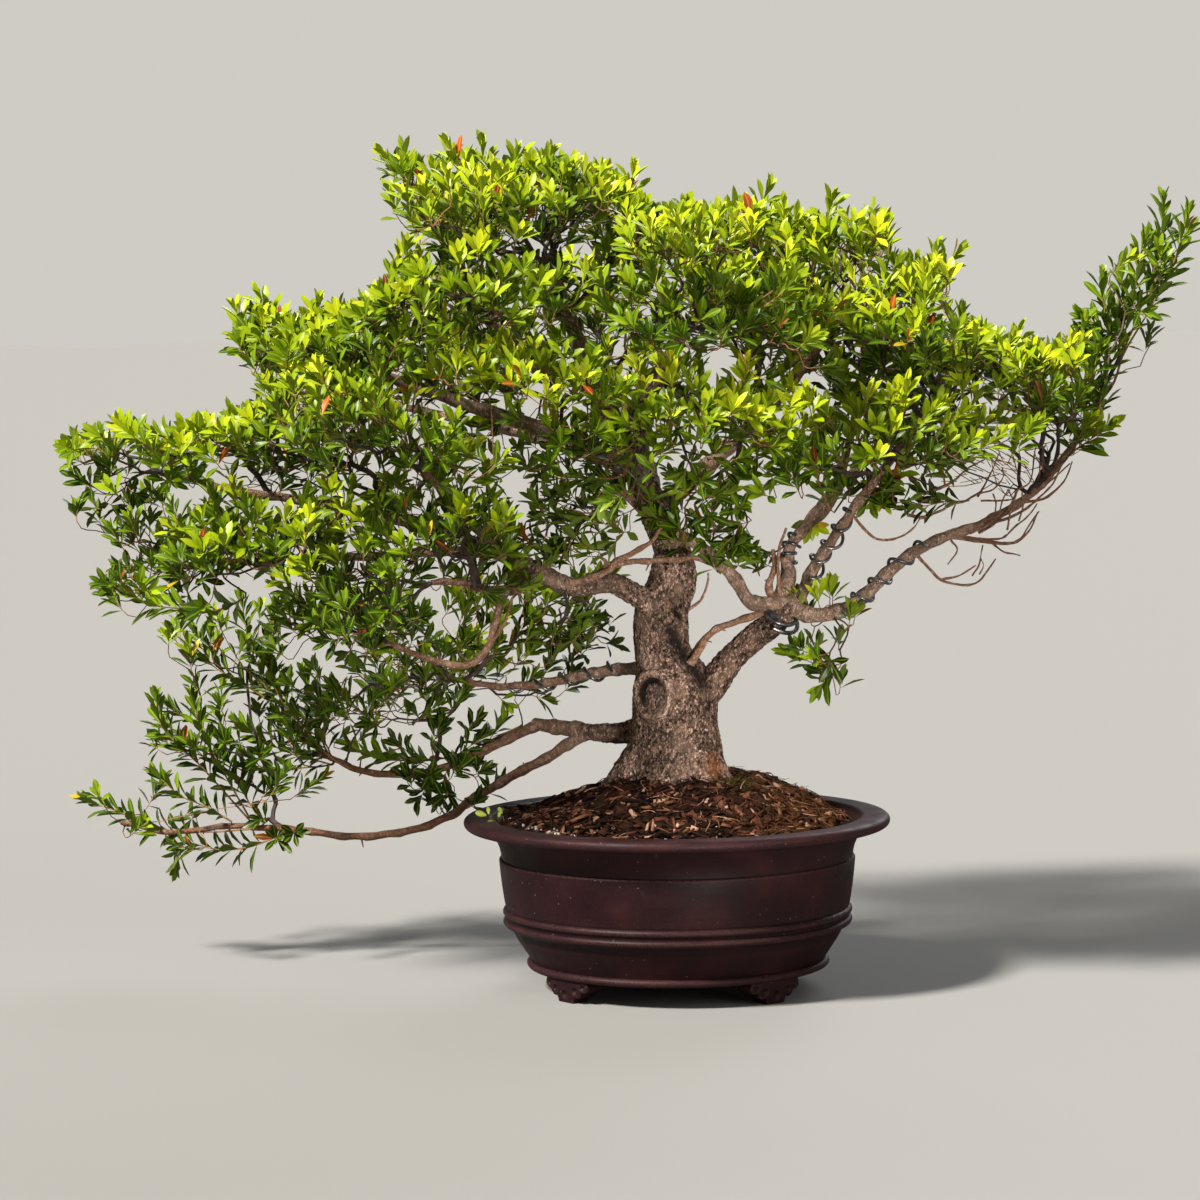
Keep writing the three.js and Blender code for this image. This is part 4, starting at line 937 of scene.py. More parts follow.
# Thin bare twigs that curl under the right-hand pad, and the stubs of lost ones.
BARE_TWIGS = [
    [[192, -18, 351, 1.6], [202, -22, 340, 1.3], [213, -24, 329, 1.1], [224, -24, 325, 1.0],
     [241, -22, 326, 0.9], [249, -20, 333, 0.8], [258, -18, 345, 0.6]],
    [[213, -24, 329, 1.0], [228, -30, 333, 0.8], [240, -32, 341, 0.6]],
    [[218, -12, 363, 1.7], [232, -8, 361, 1.4], [255, -6, 358, 1.2], [276, -4, 358, 1.0], [286, -4, 366, 0.8],
     [293, -2, 381, 0.6]],
    [[255, -6, 358, 1.0], [266, 0, 349, 0.8], [280, 2, 346, 0.6]],
    [[246, -6, 372, 1.5], [266, -14, 376, 1.2], [286, -18, 388, 1.0], [303, -18, 404, 0.8],
     [312, -14, 420, 0.6]],
    [[279, 0, 389, 1.4], [298, 8, 392, 1.1], [315, 12, 404, 0.8], [322, 10, 421, 0.6]],
    [[139, -56, 386, 1.5], [152, -50, 370, 1.2], [166, -46, 362, 1.0], [182, -46, 366, 0.8],
     [196, -50, 381, 0.6]],
    [[76, -28, 308, 3.0], [63, -26, 302, 2.9], [48, -22, 297, 2.7], [34, -18, 292, 2.6], [23, -12, 282, 2.7],
     [15, -4, 270, 3.0], [11, 2, 262, 3.2]],
    [[12, -12, 263, 3.4], [18, -13, 272, 3.0], [24, -12, 281, 2.2]],
    [[83, -24, 308, 7.5], [87, -25, 322, 6.4], [92, -25, 337, 5.2], [87, -24, 348, 3.0]],
    [[80, -26, 313, 3.4], [75, -27, 326, 2.8], [80, -28, 342, 2.2], [78, -28, 356, 1.4]],
    [[-67, -46, 336, 2.6], [-50, -45, 344, 2.4], [-40, -44, 347, 2.3], [-21, -43, 348, 2.2],
     [1, -43, 349, 2.1], [15, -42, 351, 2.0], [29, -41, 346, 2.0], [40, -40, 338, 2.2]],
    [[-56, -52, 344, 1.8], [-55, -58, 349, 1.5], [-60, -62, 353, 1.0]],
    [[11, -10, 306, 1.3], [21, -10, 314, 1.2], [26, -10, 326, 1.0], [27, -10, 337, 0.8]],
    [[84, -30, 318, 1.8], [82, -34, 338, 1.4], [84, -38, 356, 1.2], [89, -40, 372, 1.0]],
    [[-148, -74, 285, 1.4], [-136, -80, 300, 1.2], [-128, -88, 322, 1.0], [-112, -92, 336, 0.8]],
    [[217, -8, 365, 1.3], [232, -11, 363, 1.2], [244, -14, 361, 1.1], [262, -18, 362, 0.9],
     [274, -21, 372, 0.8], [284, -24, 381, 0.6], [290, -26, 389, 0.6]],
    [[244, -12, 361, 1.1], [256, -16, 359, 1.0], [271, -21, 358, 0.8], [278, -24, 362, 0.8],
     [283, -27, 371, 0.7], [290, -32, 383, 0.6]],
    [[227, -6, 366, 1.9], [245, -4, 371, 1.7], [257, -2, 377, 1.5], [270, 0, 383, 1.3], [282, 2, 390, 1.1],
     [295, 4, 400, 1.0], [310, 6, 410, 0.7], [320, 8, 419, 0.6]],
    [[238, -6, 365, 1.2], [251, -10, 372, 1.0], [260, -14, 380, 0.8], [263, -17, 390, 0.7],
     [268, -20, 400, 0.6]],
    [[245, -4, 365, 1.4], [258, -6, 373, 1.2], [268, -7, 382, 1.1], [274, -9, 394, 1.0], [277, -10, 400, 0.9],
     [285, -11, 406, 0.8], [289, -13, 424, 0.7], [292, -14, 435, 0.6]],
    [[267, -18, 368, 0.9], [269, -20, 380, 0.8], [271, -22, 391, 0.7], [267, -24, 401, 0.6]],
    [[276, -20, 375, 0.8], [279, -18, 387, 0.7], [279, -16, 398, 0.6]],
    [[290, 2, 397, 0.9], [294, -3, 410, 0.7], [294, -8, 422, 0.6]],
    [[300, 4, 406, 0.8], [298, -1, 418, 0.6], [293, -4, 425, 0.6]],
    [[296, 4, 401, 1.1], [308, 10, 414, 0.8], [314, 14, 426, 0.6]],
    [[245, -2, 394, 1.0], [252, -10, 408, 0.8], [255, -15, 417, 0.7], [260, -22, 429, 0.6]],
    [[220, 0, 392, 1.2], [232, -4, 390, 1.1], [244, -9, 396, 0.9], [257, -14, 401, 0.8], [263, -17, 411, 0.6],
     [262, -20, 418, 0.6]],
    [[247, -6, 391, 0.9], [263, -5, 391, 0.7], [275, -4, 392, 0.6]],
    [[256, -12, 397, 0.8], [258, -16, 390, 0.7], [257, -20, 381, 0.6]],
    [[200, -14, 397, 1.5], [213, -19, 402, 1.3], [225, -24, 408, 1.0], [236, -29, 418, 0.8],
     [247, -34, 425, 0.6]],
    [[187, -18, 381, 1.5], [201, -15, 379, 1.3], [213, -12, 383, 1.0], [223, -9, 388, 0.8],
     [238, -6, 391, 0.6]],
    [[191, -18, 382, 1.1], [198, -24, 392, 0.8], [208, -30, 395, 0.6]],
    [[222, -14, 360, 1.0], [227, -18, 352, 0.8], [218, -24, 341, 0.6]],
    [[238, -24, 332, 0.9], [244, -21, 341, 0.7], [247, -18, 356, 0.6]],
    [[244, -24, 333, 0.7], [247, -25, 340, 0.6], [245, -26, 346, 0.6]],
]  # fmt: skip

CLAY_GRAIN = 1.5  # voxel of the carved wood
BARK_CELL = 2.9  # breadth of a bark plate
BARK_DEPTH = 1.25
FLUTE_DEPTH = 1.5
KNOT_DEPTH = 8.0
KNOT_ROLL = 4.2
GROOVE_DEPTH = 7.5
SCAR_DEPTH = 4.2
ROOT_CUT = 145  # the roots are cut off here, deep in the mulch
HEAVY = 6.5  # limbs at least this thick are carved, the rest are drawn
KNOT = (-16.8, 239.4)  # x and z of the healed knot on the trunk's front
KNOT_SIZE = (9.2, 12.8)
SCAR = (1.7, 303.3)
SCAR_SIZE = (3.0, 7.0)
RUST = (34, -34, 182)  # a rusty patch low on the root flare
RUST_SIZE = (9, 14, 13)
GROOVE = [(-4, 290), (3, 276), (10, 266), (17, 256), (22, 246)]  # x and z of the fold above the crotch


def carve(places, normals, depth):
    """Moves places along their normals by a depth in millimetres."""
    return places + normals * np.asarray(depth)[:, None]


def oval(places, centre, size, lean=0.0):
    """How far out of an oval on the trunk's front each place lies, with 1 on its edge."""
    across = (places[:, 0] - centre[0] + lean * (places[:, 2] - centre[1])) / size[0]
    upward = (places[:, 2] - centre[1]) / size[1]
    return np.hypot(across, upward) + 9 * (places[:, 1] > -4)


def off_line(places, line):
    """Distance, as seen from straight ahead, of each place from a line of (x, z) points."""
    here = places[:, [0, 2]]
    gaps = []
    for a, b in zip(np.array(line, float), np.array(line[1:], float)):
        t = np.clip((here - a) @ (b - a) / np.dot(b - a, b - a), 0, 1)[:, None]
        gaps.append(np.linalg.norm(here - a - t * (b - a), axis=1))
    return np.min(gaps, axis=0)


heavy_routes = [*ROOTS]
light_routes = [*BARE_TWIGS]
for name, route in LIMBS.items():
    heavy = [point for point in route if point[3] >= HEAVY]
    if len(heavy) > 1:
        heavy_routes.append(heavy)
    if len(heavy) < len(route):
        light_routes.append(route[max(len(heavy) - 1, 0):])
clay = []
grain_line = []
for route in heavy_routes:
    line = smooth_route(route, 5)
    clay.append(rods(line[None], 20))
    grain_line.append(np.concatenate([line, np.gradient(line[:, :3], axis=0)], axis=1))
clay_places, clay_faces, _ = gather(clay)
trunk = mesh_piece("trunk_wood", clay_places, clay_faces)
apply_modifier(trunk, "REMESH", mode="VOXEL", voxel_size=CLAY_GRAIN * MM)
apply_modifier(trunk, "SMOOTH", factor=0.5, iterations=7)
make_active(trunk)
bpy.ops.object.mode_set(mode="EDIT")
bpy.ops.mesh.select_all(action="SELECT")
hidden_cut = {"plane_co": tuple(metres((0, 0, ROOT_CUT))), "plane_no": (0, 0, 1)}
bpy.ops.mesh.bisect(**hidden_cut, use_fill=True, clear_inner=True)
bpy.ops.object.mode_set(mode="OBJECT")

grain_line = np.concatenate(grain_line)
nearby = kdtree.KDTree(len(grain_line))
for i, point in enumerate(grain_line):
    nearby.insert(point[:3], i)
nearby.balance()

wood = (vertices_of(trunk) - AXIS) / MM
outward = vertices_of(trunk, "normal")
nearest = np.array([nearby.find(p)[1] for p in wood])
limb_radius = grain_line[nearest, 3]
grain = grain_line[nearest, 4:]
grain = grain / np.linalg.norm(grain, axis=1, keepdims=True)
low = 1 - smoothstep(wood[:, 2], 165, 262)
around = np.arctan2(wood[:, 0], -wood[:, 1])
flutes = np.sin(5 * around + 1.2) + 0.7 * np.sin(9 * around + 2.1 + wood[:, 2] / 60)
flutes += 0.5 * np.sin(16 * around - wood[:, 2] / 40)
on_trunk = smoothstep(limb_radius, 14, 24)
wood = carve(wood, outward, FLUTE_DEPTH * low * on_trunk * flutes)
swell = np.array([noise.noise(Vector(p) / 26) for p in wood])
wood = carve(wood, outward, 0.13 * np.minimum(limb_radius, 14) * swell)
along = np.sum(wood * grain, axis=1)
rings = np.array([noise.noise(Vector((t / 3.4, r / 9, 0))) for t, r in zip(along, limb_radius)])
wood = carve(wood, outward, 1.1 * smoothstep(limb_radius, 16, 9) * rings)

# The knot: bark rolls over its edge on all sides, thickest below, round a sunken face of old wood.
out_of_knot = oval(wood, KNOT, KNOT_SIZE)
up_left = (KNOT[0] - wood[:, 0]) / KNOT_SIZE[0] + (wood[:, 2] - KNOT[1]) / KNOT_SIZE[1]
sunk = smoothstep(out_of_knot, 1.12, 0.72)
wood[:, 1] += sunk * (KNOT_DEPTH + 4.0 * np.clip(up_left, -1, 1.2))
roll = np.exp(-(((out_of_knot - 1.34) / 0.26) ** 2)) * (1.25 - 0.35 * np.clip(up_left, -1, 1))
wood = carve(wood, outward, KNOT_ROLL * roll * (out_of_knot < 4))
wood = carve(wood, outward, 2.4 * np.exp(-((out_of_knot / 2.3) ** 2)) * (out_of_knot < 6))
fold = np.exp(-((off_line(wood, GROOVE) / 5.6) ** 2)) * smoothstep(wood[:, 1], 6, -2)
wood[:, 1] += GROOVE_DEPTH * fold
out_of_scar = oval(wood, SCAR, SCAR_SIZE, 0.7)
wood[:, 1] += SCAR_DEPTH * smoothstep(out_of_scar, 1.1, 0.4)
wood = carve(wood, outward, 1.1 * np.exp(-(((out_of_scar - 1.5) / 0.3) ** 2)) * (out_of_scar < 4))

# Flaky bark: plates that run with the grain, parted by cracks, and finer flakes on them.
along_grain = np.sum(wood * grain, axis=1, keepdims=True) * grain
cells = (wood - 0.5 * along_grain) / BARK_CELL
crack = []
for p in cells:
    gaps = noise.voronoi(Vector(p))[0]
    crack.append(gaps[1] - gaps[0])
crack = np.array(crack)
plates = np.array([noise.noise(Vector(p) * 0.9 + Vector((7, 3, 1))) for p in cells])
flakes = np.array([noise.noise(Vector(p) * 2.3) for p in cells])
relief = smoothstep(crack, 0.0, 0.35) * (0.75 + 0.5 * plates) + 0.35 * flakes
rough = np.clip(limb_radius / 15, 0.4, 1) * (1 - 0.7 * sunk)
wood = carve(wood, outward, BARK_DEPTH * rough * (relief - 0.6))
move_vertices(trunk, metres(wood))
# The material paints raised bark lighter and the cracks darker, as painted light and shade, and the knot's
# rolled lip lighter still, a painted highlight.
add_value(trunk, "relief", np.clip(relief / 1.3 + 0.28 * roll * (out_of_knot < 4), 0, 1))
# Painted shade: a crescent inside the knot's upper-left edge, its sunken face, the scar's slot and the fold
# above the crotch are painted darker as the shade in them.
rim = smoothstep(out_of_knot, 0.5, 0.82) * smoothstep(out_of_knot, 1.16, 1.0)
rim *= np.clip(0.4 + 0.9 * up_left, 0, 1)
dark = np.clip(1.25 * rim + 0.2 * sunk + 1.1 * smoothstep(out_of_scar, 1, 0.5) + fold, 0, 1)
add_value(trunk, "painted_shade", dark)
add_value(trunk, "rust", np.exp(-np.sum(((wood - RUST) / RUST_SIZE) ** 2, axis=1)))
add_value(trunk, "heavy", smoothstep(limb_radius, 3, 11))
smooth_shading(trunk, 180)

# Light limbs: they thicken at each old joint and carry short stubs.
STUB_PLACES = slice(4, -6, 9)
STUB_SHARE = 0.45  # of those places that carry a stub
rng = np.random.default_rng(23)
drawn = []
slimness = []
for route in light_routes:
    line = smooth_route(route, 10 if route[0][3] > 2.4 else 5)
    length = np.cumsum(np.linalg.norm(np.gradient(line[:, :3], axis=0), axis=1))
    joints = 1 + 0.2 * np.sin(length / 8 + rng.uniform(0, 6)) ** 6 * (line[:, 3] > 0.9)
    layers = [Vector((0, 0, 40 * i)) for i in range(3)]
    wobble = np.array([[noise.noise(Vector(p[:3]) / 17 + layer) for layer in layers] for p in line])
    thin = np.minimum(1, 2.4 / line[:, 3])[:, None] * np.minimum(1, length / 30)[:, None]
    line[:, :3] += 1.6 * wobble * thin
    line[:, 3] *= joints
    sides = 12 if line[0, 3] > 3.5 else 8 if line[0, 3] > 1.9 else 5
    drawn.append(rods(line[None], sides))
    slimness.append(np.repeat(smoothstep(line[:, 3], 5.2, 2.4), sides))
    for start in line[STUB_PLACES]:
        if rng.uniform() < STUB_SHARE and start[3] > 1.4:
            way = rng.normal(size=3) + (0, 0, 0.5)
            reach = rng.uniform(4, 13)
            out = way / np.linalg.norm(way) * reach
            stub = np.array([[*(start[:3] + out * t), 0.9 - 0.4 * t] for t in (0, 0.5, 1)])
            stub[1, :3] += rng.normal(0, 0.06 * reach, 3)
            drawn.append(rods(stub[None], 4))
            slimness.append(np.full(12, 0.5))
limb_places, limb_faces, _ = gather(drawn)
limbs = mesh_piece("light_limbs", limb_places, limb_faces)
ripple = np.array([noise.noise(Vector(p) / 3.1) for p in limb_places])
move_vertices(limbs, metres(carve(limb_places, vertices_of(limbs, "normal"), 0.45 * ripple)))
# Raised ripples are painted lighter by the material, a painted light.
add_value(limbs, "relief", np.clip(0.58 + 0.9 * ripple, 0, 1))
# Low at the back, under the crown, the trailing limbs are painted redder, and darker as a painted shade.
trailing = smoothstep(limb_places[:, 1], 60, 110) * smoothstep(limb_places[:, 2], 260, 200)
add_value(limbs, "rust", 0.4 * np.concatenate(slimness) + 0.3 * trailing)
add_value(limbs, "painted_shade", 0.4 * trailing)
add_value(limbs, "heavy", np.zeros(len(limb_places)))
smooth_shading(limbs, 60)


def bark_material():
    """Azalea bark: grey-brown plates with tan and pink lights and a little moss; raised bark painted lighter
    and cracks painted darker, as painted light and shade, and painted shade in the knot, scar and fold and
    low on the trailing limbs.
    """
    material, tree, shader = new_material("azalea_bark", Roughness=0.82, Specular_IOR_Level=0.2)
    cloud, grain, speck, place = mottled(tree, 42, 520, 260, stretch=(1, 1, 0.6))
    plates = cells_of(tree, place, 620.0)
    plate_tone = channel(tree, plates["Color"], "Red")
    plate_hue = channel(tree, plates["Color"], "Green")
    gaps = cells_of(tree, place, 620.0, feature="DISTANCE_TO_EDGE")["Distance"]
    flecks = noisy(tree, place, 330.0, 4.0, 0.7)
    pinkish = noisy(tree, place, 95.0, 3.0)
    moss = noisy(tree, place, 30.0, 6.0, 0.75)
    # Raised bark, flecks and plates are painted lighter and the cracks darker, in step with the bump: painted
    # light and shade over plates that also differ in tone.
    light = plus(
        tree,
        times(tree, value_of(tree, "relief"), 0.36),
        spread(tree, cloud, 0.3, 0.7, 0.0, 0.26),
        times(tree, plate_tone, 0.26),
        spread(tree, flecks, 0.35, 0.65, -0.13, 0.20),
    )
    shade = maths(tree, "SUBTRACT", light, spread(tree, gaps, 0.12, 0.0, 0, 0.26))
    browns = [
        (0.16, (0.011, 0.008, 0.006)), (0.31, (0.092, 0.057, 0.046)), (0.435, (0.33, 0.207, 0.168)),
        (0.545, (0.62, 0.405, 0.33)), (0.70, (1.0, 0.71, 0.59)),
    ]  # fmt: skip
    slim = maths(tree, "SUBTRACT", 1.0, value_of(tree, "heavy"))
    tint = coated(
        tree,
        ramp(tree, shade, browns),
        (spread(tree, pinkish, 0.5, 0.68, 0, 0.4), (0.46, 0.30, 0.22)),
        (spread(tree, plate_hue, 0.68, 0.9, 0, 0.4), (0.50, 0.31, 0.20)),
        (spread(tree, plate_hue, 0.3, 0.1, 0, 0.42), (0.135, 0.120, 0.080)),
        (times(tree, slim, 0.38), (0.50, 0.35, 0.25)),
        (spread(tree, moss, 0.60, 0.72, 0, 0.45), (0.105, 0.115, 0.045)),
        (times(tree, value_of(tree, "rust"), spread(tree, grain, 0.35, 0.6)), (0.62, 0.20, 0.05)),
        # Painted shade in the knot, scar and fold, and low at the back of the trailing limbs.
        (times(tree, value_of(tree, "painted_shade"), 0.94), (0.014, 0.010, 0.009)),
        (times(tree, speck, 0.5), (0.55, 0.46, 0.38)),
    )
    height = plus(tree, times(tree, flecks, 0.5), times(tree, plate_tone, 0.25))
    height = maths(tree, "SUBTRACT", height, spread(tree, gaps, 0.12, 0.0, 0, 0.4))
    feed(tree, shader, Base_Color=tint, Normal=bump(tree, height, 0.9, 0.0016))
    return material


azalea_bark = bark_material()
for piece in (trunk, limbs):
    piece.data.materials.append(azalea_bark)
    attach(piece, "root")
    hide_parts("trunk_and_limbs")

# ---------------------------------------------------------------- training wire
# Soft aluminium wire, dulled to near black: a double ring of heavy wire on the joint of the right
# limb, and open coils on the young limbs that it is bending.

WIRE_RADIUS = 1.3
HEAVY_WIRE_RADIUS = 1.8
STEPS_A_TURN = 26
# Limb, start and end as shares of its length, turns, radius, slack off the bark, and slant.
WINDINGS = {
    "training_wire_heavy": ("right", 0.83, 0.93, 2, HEAVY_WIRE_RADIUS, 3.4, 6.5),
    "training_wire_main_right": ("main_right", 0.22, 0.54, 4, WIRE_RADIUS, 0.8, 1.5),
    "training_wire_leaning_right": ("leaning_right", 0.3, 0.68, 4, WIRE_RADIUS, 1.8, 3.0),
    "training_wire_upright_right": ("upright_right", 0.2, 0.36, 3, WIRE_RADIUS, 1.0, 2.0),
    "training_wire_low_left": ("back_left_wired", 0.24, 0.8, 4, WIRE_RADIUS, 0.5, 2.0),
}


def wound(limb, start, end, turns, radius, slack, slant):
    """A wire wound on a limb between two shares of its length, lower in front by the slant."""
    line = smooth_route(LIMBS[limb], 40)
    steps = turns * STEPS_A_TURN
    share = np.linspace(start, end, steps + 1) * (len(line) - 1)
    spine = np.stack([np.interp(share, np.arange(len(line)), line[:, i]) for i in range(4)], axis=1)
    along = np.gradient(spine[:, :3], axis=0)
    along /= np.linalg.norm(along, axis=1, keepdims=True)
    across = np.array((0.0, -1.0, 0.0))
    coil = []
    for i, (place, way) in enumerate(zip(spine, along)):
        across = across - way * np.dot(across, way)
        across /= np.linalg.norm(across)
        turn = 2 * math.pi * i * turns / steps
        out = across * math.cos(turn) + np.cross(way, across) * math.sin(turn)
        bark = place[3] * (1.05 + 0.06 * math.sin(i / 9))
        stand = bark + radius + slack * (0.5 + 0.5 * math.sin(turn * 0.5 + 1)) + 0.2
        coil.append([*(place[:3] + out * stand - way * slant * math.cos(turn)), radius])
    return rods(np.array(coil)[None], 10)


def wire_material():
    material, tree, shader = new_material("dull_aluminium_wire", Metallic=0.85)
    cloud, grain, _, _ = mottled(tree, 150, 900, 400)
    greys = [(0.35, (0.12, 0.127, 0.145)), (0.55, (0.27, 0.28, 0.31)), (0.75, (0.62, 0.63, 0.66))]
    tint = ramp(tree, cloud, greys)
    rough = spread(tree, grain, 0.3, 0.7, 0.2, 0.38)
    feed(tree, shader, Base_Color=tint, Roughness=rough, Normal=bump(tree, grain, 0.12, 0.0002))
    return material


wire_finish = wire_material()
for name, winding in WINDINGS.items():
    wire = mesh_piece(name.replace("training_wire", "coiled_wire"), *wound(*winding))
    smooth_shading(wire, 60)
    wire.data.materials.append(wire_finish)
    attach(wire, "root")
    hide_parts(name)

# ---------------------------------------------------------------- leafy branchlets
# The crown: each branchlet forks from its limb into ever finer twigs, and every twig ends in a short
# shoot with a whorl of small glossy leaves. The outline is where the shears have kept the crown, as
# (x, z) on the upright plane through the pot's axis, seen from the tree's front.

CROWN = [
    (-497, 441), (-487, 463), (-443, 470), (-415, 452), (-381, 468), (-337, 478), (-320, 490),
    (-346, 513), (-355, 546), (-332, 567), (-307, 551), (-249, 562), (-217, 584), (-210, 605),
    (-223, 634), (-232, 665), (-218, 678), (-199, 666), (-192, 653), (-178, 684), (-142, 681),
    (-108, 673), (-79, 676), (-55, 670), (-27, 655), (-13, 632), (40, 633), (79, 640), (117, 627),
    (170, 632), (178, 610), (157, 576), (179, 580), (211, 596), (229, 590), (208, 562), (201, 541),
    (232, 541), (280, 526), (312, 515), (330, 543), (365, 587), (386, 627), (422, 621), (417, 593),
    (390, 519), (357, 497), (345, 481), (357, 452), (335, 430), (313, 426), (294, 421), (270, 409),
    (233, 404), (223, 373), (204, 389), (175, 381), (136, 380), (122, 365), (95, 371), (76, 326),
    (58, 342), (28, 344), (-1, 372), (-28, 366), (-32, 345), (-60, 332), (-54, 301), (-29, 285),
    (-41, 268), (-75, 245), (-98, 222), (-113, 234), (-135, 214), (-151, 183), (-129, 177), (-139, 160),
    (-155, 138), (-177, 141), (-213, 137), (-231, 157), (-217, 171), (-244, 202), (-263, 169),
    (-308, 166), (-337, 178), (-347, 160), (-322, 139), (-297, 121), (-332, 117), (-362, 110),
    (-401, 102), (-443, 124), (-489, 152), (-473, 174), (-427, 156), (-421, 173), (-437, 230),
    (-409, 247), (-383, 233), (-394, 264), (-399, 293), (-374, 295), (-350, 316), (-377, 301),
    (-418, 303), (-449, 312), (-472, 337), (-438, 360), (-422, 375), (-428, 389), (-453, 374),
    (-483, 405),
]  # fmt: skip
SPRIG = [
    (80, 282), (131, 280), (131, 305), (98, 306), (96, 338), (160, 340), (150, 306), (134, 305), (134, 280),
    (141, 278), (137, 248), (121, 227), (98, 254),
]  # fmt: skip

# Growth that fills the crown between the branchlets: place, half sizes and number of shoots.
FILLED = {
    "upper_front_low": [
        ((-92, -75, 362), (48, 26, 22), 22), ((-59, -90, 395), (47, 30, 30), 26),
        ((-66, -140, 436), (46, 22, 22), 16),
    ],
    "upper_right_front": [((38, -60, 358), (26, 24, 20), 10), ((24, -75, 388), (39, 30, 27), 22)],
    "low_back_spray": [
        ((-72, 110, 297), (40, 30, 24), 24), ((-96, 115, 232), (20, 22, 18), 9),
        ((-126, 90, 288), (70, 30, 37), 46),
    ],
    "second_trailing_root": [((-184, 137, 163), (46, 24, 32), 30), ((-184, 132, 142), (36, 18, 20), 16)],
    "second_trailing_end": [((-360, 150, 261), (29, 25, 34), 12)],
    "trailing_end": [((-374, 137, 128), (72, 24, 24), 5)],
    "left_end": [((-452, -36, 408), (30, 24, 26), 16)],
    "right_pad_front": [((157, -60, 408), (32, 24, 20), 14)],
    "right_pad_end": [((218, -10, 386), (10, 12, 7), 2), ((262, -8, 414), (42, 24, 14), 26)],
    "right_pad_outer": [((290, -6, 428), (44, 24, 13), 22)],
    "far_right_shoots": [((374, 0, 530), (11, 14, 26), 5)],
    "left_inner": [((-94, 110, 274), (32, 22, 18), 16), ((-45, 105, 282), (20, 22, 20), 14)],
    "left_low_end": [((-440, -40, 411), (10, 12, 11), 4)],
    "right_pad_back": [((69, 42, 330), (10, 12, 14), 4)],
    "right_pad_crown": [((156, -40, 394), (18, 14, 12), 6)],
    "second_trailing_mid": [((-225, 130, 213), (40, 20, 18), 12)],
}  # fmt: skip
# Gaps where the twigs show: x and z of the middle, and half sizes.
WINDOWS = [(-89, 520, 48, 34), (-122, 452, 92, 24), (128, 557, 44, 17), (-263, 232, 44, 40)]

# Where twigs show without leaves, under the right-hand pad, as (x, z).
LEAFLESS = [
    (212, 404), (224, 411), (238, 427), (254, 434), (270, 427), (284, 436), (307, 438), (323, 430),
    (347, 446), (347, 420), (300, 398), (238, 390),
]  # fmt: skip

